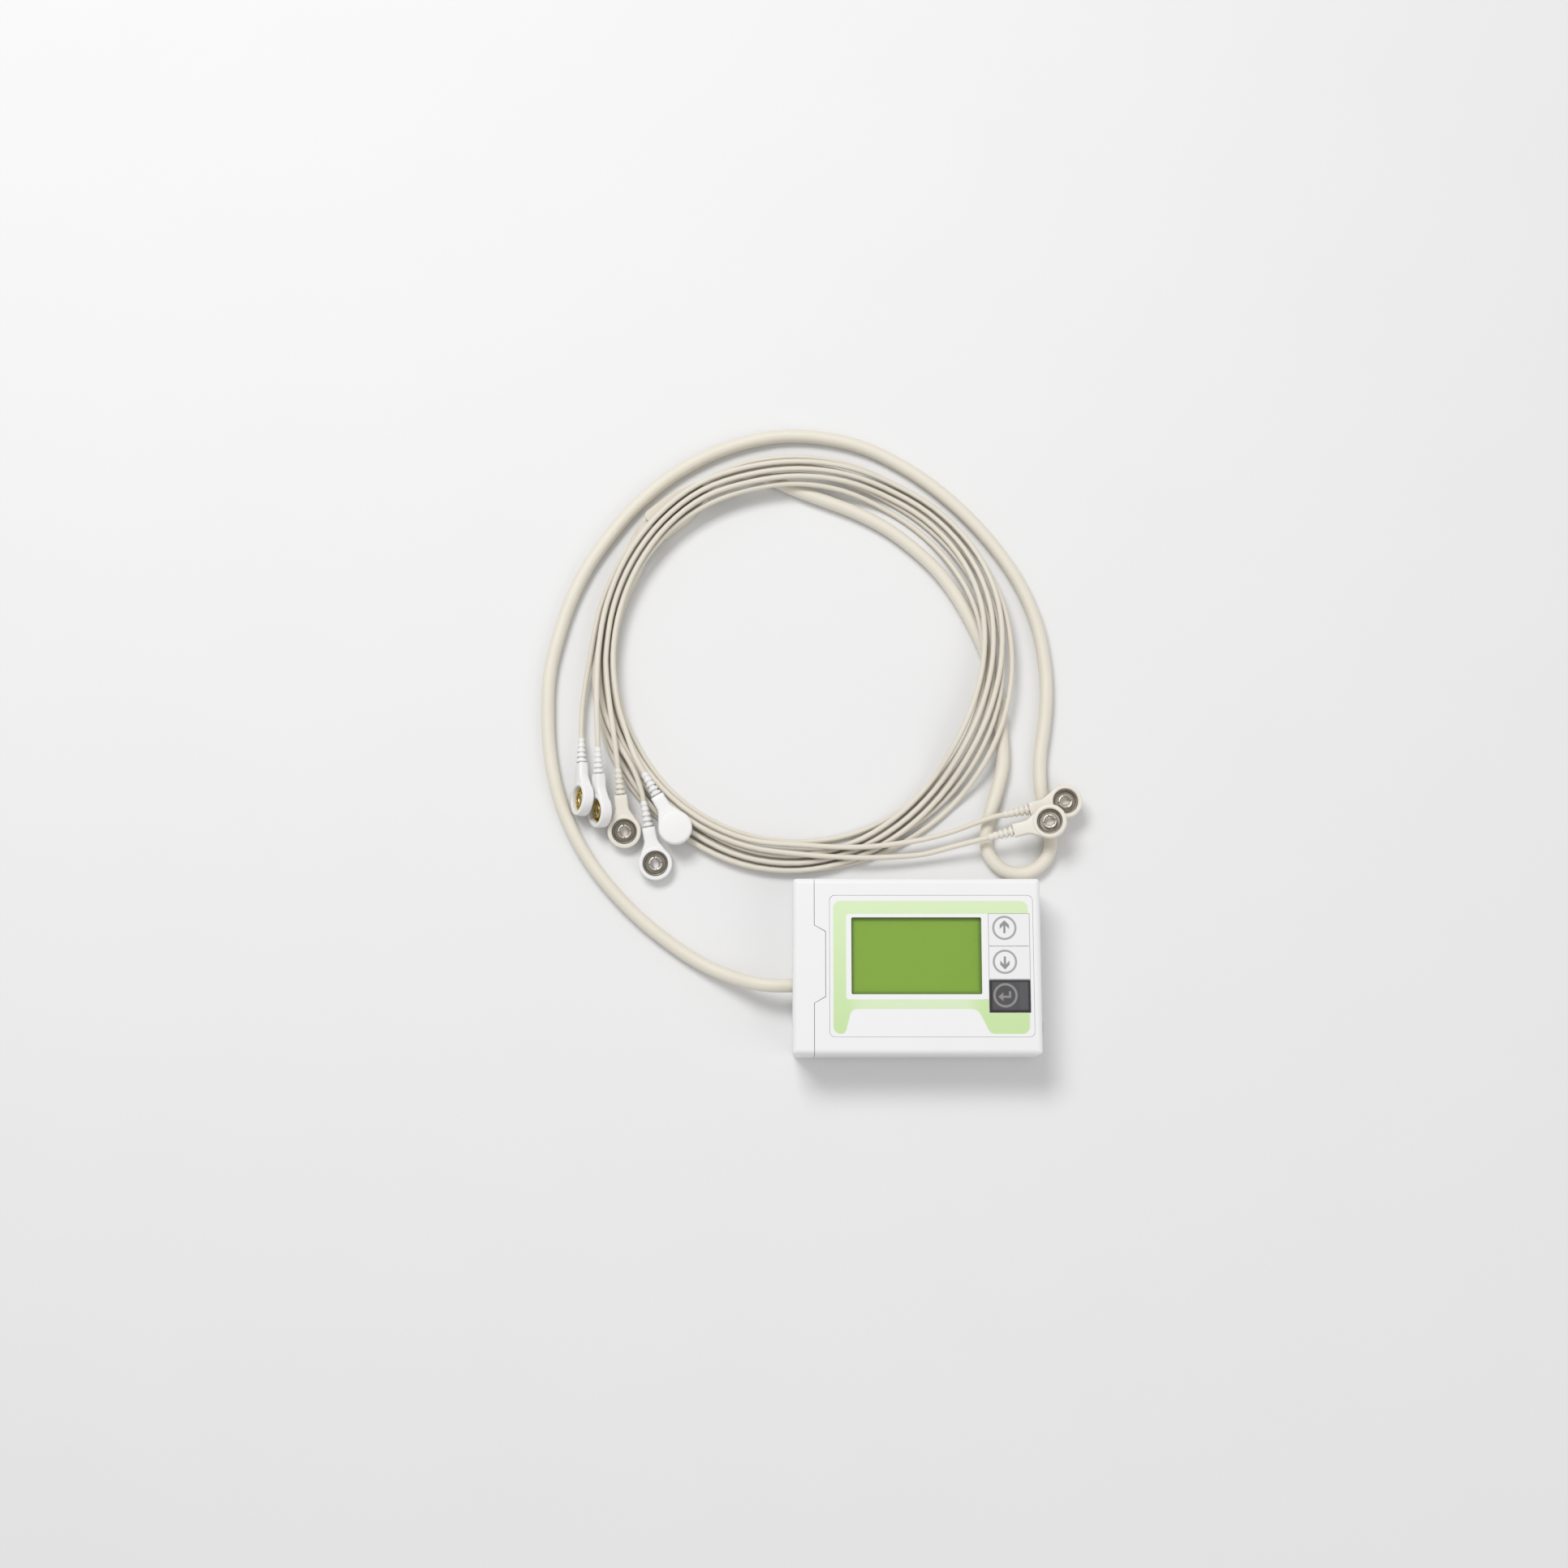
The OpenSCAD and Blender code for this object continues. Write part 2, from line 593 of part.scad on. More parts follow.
// Soft cover of the port: a flange with a pull tab outside, and a plug in the wall
module port_cover() color("#e9e7e3") {
    block([right_x, usb_y - cover_w / 2, usb_z - cover_h / 2],
          [right_x + cover_t, usb_y + cover_w / 2, usb_z + cover_h / 2]);
    block([right_x, usb_y + cover_w / 2 - cover_tab_w, usb_z - cover_h / 4],
          [right_x + cover_tab, usb_y + cover_w / 2, usb_z + cover_h / 4]);
    block([right_x - cover_plug, usb_y - port_w / 2 + plug_gap, usb_z - port_h / 2 + plug_gap],
          [right_x, usb_y + port_w / 2 - plug_gap, usb_z + port_h / 2 - plug_gap]);
}

module lead_header() color("#f0ead8") difference() {
    x0 = board_x0 + header_x;
    block([x0, 0, board_z - header_h], [x0 + header_l, header_w, board_z]);
    block([x0 - cut, header_wall, board_z - header_h + header_wall],
          [x0 + header_l - 2 * header_wall, header_w - header_wall, board_z - header_wall]);
}

module battery() color("#5b6f8c") {
    rod_x(cell_x0, cell_x0 + cell_l - button_l, bay_y, cell_z, cell_d / 2);
    rod_x(cell_x0 + cell_l - button_l - root, cell_x0 + cell_l, bay_y, cell_z, button_r);
}

// Cone spring on a plate, pressed against the cell's flat end
spring_end = 360 * spring_turns;
spring_run = spring_l - 1.5 * spring_wire_r;
function spring_radius(a) = spring_r0 - (spring_r0 - spring_r1) * a / spring_end;
function spring_point(a) = [
    bay_x0 + contact_t + spring_wire_r / 2 + spring_run * a / spring_end,
    bay_y + spring_radius(a) * cos(a), cell_z + spring_radius(a) * sin(a)];
spring_path = [for (a = [0:45:spring_end]) spring_point(a)];

// Square contact plate of side w in the bay, from x0 to x1
module contact_plate(x0, x1, w)
    block([x0, bay_y - w / 2, cell_z - w / 2], [x1, bay_y + w / 2, cell_z + w / 2]);

module battery_spring() color("#c9ccd0") {
    contact_plate(bay_x0, bay_x0 + contact_t, spring_plate_w);
    tube(spring_path, spring_wire_r, 6, [1, 0, 0]);
}

module battery_contact() color("#c9ccd0") {
    contact_plate(bay_x1 - contact_t, bay_x1, contact_w);
    rod_x(cell_x0 + cell_l, bay_x1 - contact_t / 2, bay_y, cell_z, contact_nub_r);
}

module battery_door() color("#efedea") {
    difference() {
        intersection() {
            case_body();
            block([door_x0, -case_h, door_z0], [door_x1, door_y1, door_z1]);
        }
        // finger ridges
        for (k = [0:ridge_count - 1])
            translate([(door_x0 + door_x1 - ridge_l) / 2, ridge_y + ridge_step * k, -cut])
                cube([ridge_l, ridge_w, cut + door_z0 + ridge_depth]);
    }
    for (x = hook_x) {
        block([x - hook_w / 2, bay_y1 - slide_gap - hook_root, door_z0 + door_t / 2],
              [x + hook_w / 2, bay_y1 - slide_gap, hook_z + hook_t]);
        block([x - hook_w / 2, bay_y1 - slide_gap - hook_root, hook_z],
              [x + hook_w / 2, bay_y1 + hook_l, hook_z + hook_t]);
    }
}

module case_screws() color("#8c8f94") at_screws() difference() {
    union() {
        rod_z(0, 0, screw_seat - screw_head_h, screw_seat, screw_head_r);
        rod_z(0, 0, screw_seat - screw_head_h, screw_end, screw_r);
    }
    for (a = [0, 90]) rotate([0, 0, a])
        block([-slot_l / 2, -slot_w / 2, screw_seat - 2 * screw_head_h],
              [slot_l / 2, slot_w / 2, screw_seat - screw_head_h / 2]);
}

// ---- patient cable ----

module cable_gland() color("#d9d3c4") difference() {
    union() {
        rod_x(left_x, left_x + wall + gland_flange_t, exit_y, exit_z, gland_r);
        rod_x(left_x + wall, left_x + wall + gland_flange_t, exit_y, exit_z, gland_flange_r);
    }
    rod_x(left_x - cut, left_x + wall + gland_flange_t + cut, exit_y, exit_z, trunk_r + slide_gap / 2);
}

// The end of the cable's jacket inside the case, with its crimped collar
module cable_anchor() color("#e1dac8") {
    rod_x(left_x, anchor_x1, exit_y, exit_z, trunk_r);
    rod_x(left_x + wall + gland_flange_t + slide_gap, anchor_x1 - anchor_end,
          exit_y, exit_z, trunk_r + crimp_t);
}

// Tube of n sides through a list of points, with flat ends
function ring_at(path, i, r, n, up) =
    let (last = len(path) - 1,
         t = unit(path[min(i + 1, last)] - path[max(i - 1, 0)]),
         s = unit(cross(t, up)), u = cross(s, t))
    [for (k = [0:n - 1]) path[i] + r * (cos(360 * (k + 0.5) / n) * s + sin(360 * (k + 0.5) / n) * u)];

module tube(path, r, n, up = [0, 0, 1]) {
    rings = len(path);
    points = [for (i = [0:rings - 1]) each ring_at(path, i, r, n, up)];
    sides = [for (i = [0:rings - 2], k = [0:n - 1])
        let (a = i * n + k, b = i * n + (k + 1) % n) each [[a, b, b + n], [a, b + n, a + n]]];
    ends = [for (k = [1:n - 2]) each [[0, k + 1, k],
        [(rings - 1) * n, (rings - 1) * n + k, (rings - 1) * n + k + 1]]];
    polyhedron(points, concat(sides, ends));
}

// The trunk's last stretch runs straight into the splitter
trunk_end = [split_in[0], split_in[1], trunk_r] - meet_gap * split_heading;
trunk_route = concat(trunk_points, [trunk_end - trunk_d * split_heading, trunk_end]);

module trunk_cable() color("#e1dac8") tube(trunk_route, trunk_r, 8);

module lead_splitter() color("#ded7c5")
    translate([split_in[0], split_in[1], 0]) rotate([0, 0, split_dir]) hull() {
        for (side = [-1, 1]) {
            split_corner(split_r, side * (split_w0 / 2 - split_r));
            split_corner(split_l / 2, side * (split_w / 2 - split_r));
            split_corner(split_l - split_r, side * (split_w / 2 - split_r));
        }
    }
module split_corner(x, y) translate([x, y, 0]) cylinder(h = split_h, r = split_r, $fn = 32);

// How far the loop is lifted at an angle of its run
function lift(a) =
    over_trunk * (smooth(trunk_up[0], trunk_up[1], a) - smooth(trunk_down[0], trunk_down[1], a))
    + over_split * smooth(split_up[0], split_up[1], a)
    - (over_split - over_self) * smooth(self_down[0], self_down[1], a);

// Sideways drift and varying spacing of the lanes, so that they cross as loose leads do
function fan(a) = smooth(fan_in[0], fan_in[1], a) - smooth(fan_out[0], fan_out[1], a);
function drift(layer, a) =
    drift_size[layer] * sin(drift_rate[layer] * a + drift_start[layer])
    + fan(a) * sway_size[layer] * sin(sway_rate * a + sway_start[layer]);
function spread(layer, a) =
    1 + spread_size[layer] * sin(spread_rate * a) + fan_size[layer] * fan(a);

// Point of lead i at an angle of its run, which counts on past 360 in the second turn
function lane_point(i, a) =
    let (layer = layer_of[i],
         r = loop_r - loop_sag * sin(a) + lane_of[i] * spread(layer, a) + drift(layer, a))
    [loop_c[0] + r * cos(a), loop_c[1] + r * sin(a), layer_z[layer] + lift(a)];
function lane_dir(i, a) = unit(lane_point(i, a + 0.5) - lane_point(i, a - 0.5));

function clip_dir(c) = [cos(c[4]) * cos(c[3]), cos(c[4]) * sin(c[3]), -sin(c[4])];
function clip_entry(c) = [c[0], c[1], c[2]] - (clip_l + meet_gap) * clip_dir(c);

function split_port(i) =
    let (side = [cos(split_dir - 90), sin(split_dir - 90)], p = split_out + lane_of[i] * side)
    [p[0], p[1], layer_z[layer_of[i]] + port_rise] + meet_gap * split_heading;

// Whole route of lead i, from the splitter to its clip
function lead_route(i) =
    let (start = split_port(i), out = start + straight * split_heading,
         c = clip_at[i], end = clip_entry(c), before = end - straight * clip_dir(c),
         a1 = lane_end[i], lane0 = lane_point(i, lane_start), lane1 = lane_point(i, a1),
         via = i < len(right_route) ? right_route[i] : [],
         from = len(via) > 0 ? via[len(via) - 1] : lane1,
         reach = norm(before - from))
    concat(
        [start, out],
        bridge(out, first_bend * split_heading, lane0, first_bend * lane_dir(i, lane_start), 2),
        [for (k = [0:floor((a1 - lane_start) / loop_step)]) lane_point(i, lane_start + k * loop_step)],
        (a1 - lane_start) % loop_step > 4 ? [lane1] : [],
        via,
        len(via) > 0 ? [] :
            bridge(lane1, reach * lane_dir(i, a1), before, reach * clip_dir(c), 4),
        [before, end]);

module lead_wire(i) color("#dfd8c6") tube(lead_route(i), lead_r, 6);

// Clip body: round head with a pocket for the socket, flat neck and ribbed strain relief.
// Its middle is at the origin, its open side faces +Z and its wire enters from -X.
neck_l = 14.2;                 // from the middle to the neck's end
neck_x = 9.5;               // where the neck reaches its full narrowness
neck_w = 5.2;
neck_t = 4;
shoulder_x = 2.9;            // where the neck leaves the head
shoulder_in = 2.1;           // how much narrower it is there than the head
pocket_r = 4.8;
pocket_floor = 1.4;
rib_count = 5;
rib_step = 2;
rib_l = 1.2;
rib_gap = 0.5;               // from the neck's end to the first rib
rib_r0 = 2.1;                // radius of the first rib
rib_taper = 0.17;            // and how much less each next one has
sleeve_t = 0.25;             // wall of the relief between its ribs
sleeve_end = 0.4;
module clip_body() difference() {
    union() {
        translate([0, 0, -clip_t / 2]) cylinder(h = clip_t, d = clip_d);
        translate([0, 0, -neck_t / 2]) linear_extrude(neck_t) polygon([
            [-shoulder_x, (shoulder_in - clip_d) / 2], [-shoulder_x, (clip_d - shoulder_in) / 2],
            [-neck_x, neck_w / 2], [-neck_l, neck_w / 2],
            [-neck_l, -neck_w / 2], [-neck_x, -neck_w / 2]]);
        rotate([0, -90, 0]) cylinder(h = clip_l - sleeve_end, r = lead_r + sleeve_t);
        for (k = [0:rib_count - 1]) translate([-neck_l - rib_gap - k * rib_step, 0, 0])
            rotate([0, -90, 0]) cylinder(h = rib_l, r = rib_r0 - rib_taper * k);
        rotate([0, -90, 0]) cylinder(h = clip_l, r = lead_r + slide_gap / 2);
    }
    translate([0, 0, pocket_floor - clip_t / 2]) cylinder(h = clip_t, r = pocket_r);
}

// Metal socket: a pan with a tube in its middle that grips an electrode's stud
socket_t = 0.6;
tube_wall = 0.7;
tube_h = 2.6;
rim_h = 1.56;
module socket_body() translate([0, 0, pocket_floor - clip_t / 2]) rotate_extrude() {
    translate([stud_hole_r, 0]) square([tube_wall, tube_h]);
    translate([stud_hole_r, 0]) square([pocket_r - slide_gap - stud_hole_r, socket_t]);
    translate([pocket_r - slide_gap - tube_wall, 0]) square([tube_wall, rim_h]);
}

module at_clip(i) {
    c = clip_at[i];
    translate([c[0], c[1], c[2]]) rotate([0, 0, c[3]]) rotate([0, c[4], 0]) rotate([c[5], 0, 0])
        children();
}

module lead_clip(i) color("#ece7db") at_clip(i) clip_body();
module snap_socket(i) color("#a9a9a6") at_clip(i) socket_body();

// ---- lengths and gaps, printed when the file is evaluated ----

function cord_length(path) = total([for (i = [1:len(path) - 1]) norm(path[i] - path[i - 1])]);
function to_segment(p, a, b) =
    let (ab = b - a, k = min(1, max(0, (p - a) * ab / (ab * ab)))) norm(p - a - k * ab);
function self_gap(path, d, skip) = min([for (i = [0:len(path) - 1], j = [0:len(path) - 2])
    if (abs(i - j - 0.5) > skip) to_segment(path[i], path[j], path[j + 1]) - d]);

echo(trunk_length = cord_length(trunk_route), trunk_self_gap = self_gap(trunk_route, trunk_d, 6));
for (i = lead_numbers)
    echo(lead = i, length = cord_length(lead_route(i - 1)),
         self_gap = self_gap(lead_route(i - 1), lead_d, 3));
echo(spring_self_gap = self_gap(spring_path, 2 * spring_wire_r, 6));

// ---- nodes ----

rear_shell();
front_shell();
cable_end_cap();
front_overlay();
display_lens();
display_glass();
display_backlight();
up_key();
down_key();
enter_key();
key_switches();
main_board();
board_chips();
buzzer();
usb_socket();
port_cover();
lead_header();
battery();
battery_spring();
battery_contact();
battery_door();
case_screws();
cable_gland();
cable_anchor();
trunk_cable();
lead_splitter();
for (i = lead_numbers) {
    lead_wire(i - 1);
    lead_clip(i - 1);
    snap_socket(i - 1);
}
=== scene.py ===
# Visual model of a handheld heart-rhythm recorder with its patient cable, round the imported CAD.
import json
import math

import bmesh
import bpy
from mathutils import Matrix, Vector


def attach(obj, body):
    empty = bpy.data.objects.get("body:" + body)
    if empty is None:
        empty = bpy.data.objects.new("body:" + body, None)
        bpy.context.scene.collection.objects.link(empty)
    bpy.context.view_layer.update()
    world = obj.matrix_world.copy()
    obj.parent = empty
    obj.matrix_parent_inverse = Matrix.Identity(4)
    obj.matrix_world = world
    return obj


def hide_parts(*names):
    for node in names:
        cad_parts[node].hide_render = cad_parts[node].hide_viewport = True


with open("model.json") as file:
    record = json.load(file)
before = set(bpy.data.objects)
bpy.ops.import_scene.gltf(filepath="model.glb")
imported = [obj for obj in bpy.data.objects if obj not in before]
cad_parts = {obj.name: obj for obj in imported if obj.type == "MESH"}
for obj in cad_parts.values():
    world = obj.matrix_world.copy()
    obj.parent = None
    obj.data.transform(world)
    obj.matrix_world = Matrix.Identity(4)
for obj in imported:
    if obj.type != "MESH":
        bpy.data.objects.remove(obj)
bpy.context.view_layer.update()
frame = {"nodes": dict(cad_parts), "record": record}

MM = 0.001
LEADS = 7
body = "recorder"
record = frame["record"]


def mm(*values):
    """A point given in millimetres, in metres."""
    return Vector(values) * MM


def cosd(a):
    return math.cos(math.radians(a))


def sind(a):
    return math.sin(math.radians(a))


# ---- camera, as the photograph was taken ----

CAMERA_AT = (-49.7, -75.54, 843.33)
CAMERA_TILT = 10
CAMERA_VIEW = 39.29
SENSOR = 36

camera = bpy.data.objects.new("camera", bpy.data.cameras.new("camera"))
bpy.context.scene.collection.objects.link(camera)
camera.location = mm(*CAMERA_AT)
camera.rotation_euler = (math.radians(CAMERA_TILT), 0, 0)
camera.data.sensor_width = SENSOR
camera.data.lens = SENSOR / 2 / math.tan(math.radians(CAMERA_VIEW / 2))
bpy.context.scene.camera = camera


# ---- routes of the trunk cable and the leads, as in the CAD, in millimetres and degrees ----

LEFT_X = -46.5
MEET = 0.02
TRUNK_D = 5.2
LEAD_D = 2.1
CLIP_L = 24.5
SPLIT_IN = Vector((-81.2, 191.5, 0))
SPLIT_DIR = 218
SPLIT_L = 26
SPLIT_HEADING = Vector((cosd(SPLIT_DIR), sind(SPLIT_DIR), 0))
STRAIGHT = 1.5 * LEAD_D

# The leads' lanes round the loop, in a lower and an upper layer.
LOOP_C = (-44, 123)
LOOP_R = 77
LOOP_SAG = 1.5
LOOP_STEP = 15
LANE = (-3.9, -1.3, 1.3, 3.9, -2.6, 0, 2.6)
LANE_START = 150
LANE_END = (615, 615, 557, 533, 562, 545, 528)
LAYER = (0, 0, 0, 0, 1, 1, 1)
LAYER_Z = (1.05, 3.3)

# How far a lane wanders and spreads: size, rate and start of each wave, for each layer.
DRIFT_SIZE, DRIFT_RATE, DRIFT_START = (0.6, 1.9), (1.3, 1.7), (0, 60)
SWELL_SIZE, SWELL_RATE = (0, 0.1), 2.3
SWAY_SIZE, SWAY_RATE, SWAY_START = (0.4, 2.3), 2.9, (120, 40)
FAN_SIZE = (0.38, 0.22)
FAN_IN, FAN_OUT = (178, 216), (462, 492)

# What the lanes are lifted over, and the angles between which they rise and fall.
OVER_TRUNK, OVER_SPLIT, OVER_SELF = 5.5, 6.5, 4.5
TRUNK_RISE, TRUNK_FALL = (316, 333), (379, 398)
SPLIT_RISE, SELF_FALL = (418, 446), (500, 520)

# The leads' way from the splitter to their lanes, and from the lanes to their clips.
PORT_RISE = 0.4
BEND_REACH = 6
BEND_STEPS, LAST_STEPS = 2, 4
LEAST_STEP = 4
LOOK = 0.5

# Clips: place x, y, z of the head, then its turn about Z, its dip and its roll.
CLIP_AT = [
    (58.7, 64.8, 7.7, 12, 0, 0), (52.1, 56.3, 12.9, 13.5, -9.5, 0), (-99.3, 41.4, 3.4, -79, 8, 0),
    (-127.65, 66, 7.1, -88, -6, 60), (-91.5, 54.5, 9.1, -60, 2.5, 180),
    (-111.4, 53.9, 3.8, -84, 12, 0), (-120.75, 61.4, 7.4, -88, 8, 58)]
TRUNK_POINTS = [
    (LEFT_X - MEET, -6.4, 12), (LEFT_X - 6.5, -6.4, 12), (-60, -5.6, 10.6), (-67, -3.6, 7.8),
    (-75, -0.5, 4.8), (-83, 3.6, 3.2)] + [(x, y, TRUNK_D / 2) for x, y in (
        (-92, 9.5), (-104, 19), (-115, 30), (-124.5, 42), (-132, 55), (-137.5, 69),
        (-140.8, 84), (-142, 100), (-141.6, 116), (-138.5, 131), (-134, 145.5), (-127.5, 159.5),
        (-118.5, 173), (-108, 185.5), (-95.5, 196.5), (-81.5, 205), (-66.5, 210.8),
        (-50.5, 213.8), (-34, 213), (-18, 209), (-3, 201.5), (10.5, 192), (23, 180.5),
        (34, 167.5), (43, 153.5), (49.3, 138), (52.4, 122), (53, 108), (51.8, 95), (50, 83),
        (50, 71), (52, 60), (53.5, 50), (52.6, 45.2), (49.8, 41.2), (45.8, 38.5), (41, 37.5),
        (36.2, 38.5), (32.2, 41.2), (29.4, 45.2), (28.5, 50), (30, 60), (33, 70), (35.4, 80),
        (35.4, 91), (34.2, 102), (32.6, 113), (29.8, 124), (24.8, 136), (18.3, 148),
        (10.8, 158.3), (1.5, 167.4), (-9, 175.5), (-21, 182), (-34, 187.2), (-46, 191.8),
        (-55, 196), (-62.5, 198.6), (-70, 198.4))]
RIGHT_ROUTE = [
    [(-42, 48.2, 5.7), (-22, 47.4, 5.7), (-6, 48.8, 5.7), (6, 50.9, 5.9), (16, 53.7, 6.2),
     (25, 57, 7)],
    [(-42, 44.6, 5.7), (-22, 43.4, 5.7), (-7, 43.8, 5.2), (4, 44.8, 4.8), (14, 47.2, 6.4)]]

# Parts of the smooth line for each stretch of a route, and the roundness of its section.
TRUNK_PARTS, TRUNK_ROUND = 5, 6
LEAD_PARTS, LEAD_ROUND = 4, 4


def smooth(a, b, t):
    """0 before a, 1 after b, and an easy step between them."""
    k = min(1, max(0, (t - a) / (b - a)))
    return k * k * (3 - 2 * k)


def hermite(p0, v0, p1, v1, n):
    """Cubic from p0 to p1 that leaves along v0 and arrives along v1, without its two ends."""
    points = []
    for k in range(1, n):
        t = k / n
        points.append((2 * t**3 - 3 * t * t + 1) * p0 + (t**3 - 2 * t * t + t) * v0
                      + (3 * t * t - 2 * t**3) * p1 + (t**3 - t * t) * v1)
    return points


def lane_point(i, a):
    """The place of lead i at angle a of its way round the loop."""
    layer = LAYER[i]
    fan = smooth(*FAN_IN, a) - smooth(*FAN_OUT, a)
    drift = (DRIFT_SIZE[layer] * sind(DRIFT_RATE[layer] * a + DRIFT_START[layer])
             + SWAY_SIZE[layer] * fan * sind(SWAY_RATE * a + SWAY_START[layer]))
    spread = 1 + SWELL_SIZE[layer] * sind(SWELL_RATE * a) + FAN_SIZE[layer] * fan
    r = LOOP_R - LOOP_SAG * sind(a) + LANE[i] * spread + drift
    lift = (OVER_TRUNK * (smooth(*TRUNK_RISE, a) - smooth(*TRUNK_FALL, a))
            + OVER_SPLIT * smooth(*SPLIT_RISE, a)
            - (OVER_SPLIT - OVER_SELF) * smooth(*SELF_FALL, a))
    return Vector((LOOP_C[0] + r * cosd(a), LOOP_C[1] + r * sind(a), LAYER_Z[layer] + lift))


def lane_dir(i, a):
    return (lane_point(i, a + LOOK) - lane_point(i, a - LOOK)).normalized()


def clip_dir(clip):
    """From a clip's wire to its head."""
    turn, dip = clip[3:5]
    return Vector((cosd(dip) * cosd(turn), cosd(dip) * sind(turn), -sind(dip)))


def lead_route(i):
    side = Vector((cosd(SPLIT_DIR - 90), sind(SPLIT_DIR - 90), 0))
    start = SPLIT_IN + (SPLIT_L + MEET) * SPLIT_HEADING + LANE[i] * side
    start.z = LAYER_Z[LAYER[i]] + PORT_RISE
    out = start + STRAIGHT * SPLIT_HEADING
    heading = clip_dir(CLIP_AT[i])
    end = Vector(CLIP_AT[i][:3]) - (CLIP_L + MEET) * heading
    before = end - STRAIGHT * heading
    turned = LANE_END[i] - LANE_START
    points = [start, out]
    points += hermite(out, BEND_REACH * SPLIT_HEADING, lane_point(i, LANE_START),
                      BEND_REACH * lane_dir(i, LANE_START), BEND_STEPS)
    points += [lane_point(i, LANE_START + k * LOOP_STEP) for k in range(turned // LOOP_STEP + 1)]
    if turned % LOOP_STEP > LEAST_STEP:
        points.append(lane_point(i, LANE_END[i]))
    if i < len(RIGHT_ROUTE):
        points += [Vector(p) for p in RIGHT_ROUTE[i]]
    else:
        last = lane_point(i, LANE_END[i])
        reach = (before - last).length
        points += hermite(last, reach * lane_dir(i, LANE_END[i]), before, reach * heading,
                          LAST_STEPS)
    return points + [before, end]


def trunk_route():
    end = Vector((SPLIT_IN.x, SPLIT_IN.y, TRUNK_D / 2)) - MEET * SPLIT_HEADING
    return [Vector(p) for p in TRUNK_POINTS] + [end - TRUNK_D * SPLIT_HEADING, end]


def rounded(points, parts):
    """The route through the same points as one smooth line (Catmull-Rom, centripetal)."""
    ext = [2 * points[0] - points[1]] + points + [2 * points[-1] - points[-2]]
    line = []
    for k in range(1, len(ext) - 2):
        p0, p1, p2, p3 = ext[k - 1:k + 3]
        t1 = (p1 - p0).length**0.5
        t2 = t1 + (p2 - p1).length**0.5
        t3 = t2 + (p3 - p2).length**0.5
        for n in range(parts):
            t = t1 + (t2 - t1) * n / parts
            a1 = (t1 - t) / t1 * p0 + t / t1 * p1
            a2 = (t2 - t) / (t2 - t1) * p1 + (t - t1) / (t2 - t1) * p2
            a3 = (t3 - t) / (t3 - t2) * p2 + (t - t2) / (t3 - t2) * p3
            b1 = (t2 - t) / t2 * a1 + t / t2 * a2
            b2 = (t3 - t) / (t3 - t1) * a2 + (t - t1) / (t3 - t1) * a3
            line.append((t2 - t) / (t2 - t1) * b1 + (t - t1) / (t2 - t1) * b2)
    line.append(points[-1])
    low = min(p.z for p in points)
    for p in line:
        p.z = max(p.z, low)
    return line


def cord_curve(name, points, diameter, roundness):
    """A round cord as one open spline through points, which are in millimetres."""
    data = bpy.data.curves.new(name, "CURVE")
    data.dimensions = "3D"
    data.bevel_depth = diameter / 2 * MM
    data.bevel_resolution = roundness
    data.use_fill_caps = True
    spline = data.splines.new("POLY")
    spline.points.add(len(points) - 1)
    for knot, p in zip(spline.points, points):
        knot.co = (*(p * MM), 1)
    spline.use_smooth = True
    piece = bpy.data.objects.new(name, data)
    bpy.context.scene.collection.objects.link(piece)
    return piece


def line_length(points):
    """Length in metres of a line in millimetres."""
    return sum((b - a).length for a, b in zip(points, points[1:])) * MM


trunk_line = rounded(trunk_route(), TRUNK_PARTS)
trunk = cord_curve("trunk_cable_jacket", trunk_line, TRUNK_D, TRUNK_ROUND)
leads, lead_lines = [], []
for i in range(LEADS):
    lead_lines.append(rounded(lead_route(i), LEAD_PARTS))
    leads.append(cord_curve(f"lead_jacket_{i + 1}", lead_lines[i], LEAD_D, LEAD_ROUND))


# ---- materials; sizes on the object are in millimetres ----

NOISE_DETAIL, GRAIN_DETAIL = 3, 2
NOISE_ROUGHNESS = 0.55
AO_SAMPLES = 4
BEVEL_SAMPLES = 6


class Field:
    """A number in a material's node tree; arithmetic on it adds Math nodes."""

    def __init__(self, tree, value):
        self.tree, self.value = tree, value

    def op(self, kind, *others):
        node = self.tree.nodes.new("ShaderNodeMath")
        node.operation = kind
        for socket, v in zip(node.inputs, (self, *others)):
            v = v.value if isinstance(v, Field) else v
            if isinstance(v, bpy.types.NodeSocket):
                self.tree.links.new(v, socket)
            else:
                socket.default_value = v
        return Field(self.tree, node.outputs[0])

    def __add__(self, other):
        return self.op("ADD", other)

    def __sub__(self, other):
        return self.op("SUBTRACT", other)

    def __mul__(self, other):
        return self.op("MULTIPLY", other)

    def abs(self):
        return self.op("ABSOLUTE")

    def min(self, other):
        return self.op("MINIMUM", other)

    def max(self, other):
        return self.op("MAXIMUM", other)

    def inside(self, edge):
        """1 inside the shape whose distance this is, 0 outside, over a soft edge."""
        node = self.tree.nodes.new("ShaderNodeMapRange")
        node.inputs["From Min"].default_value = edge
        node.inputs["From Max"].default_value = -edge
        self.tree.links.new(self.value, node.inputs["Value"])
        return Field(self.tree, node.outputs["Result"])


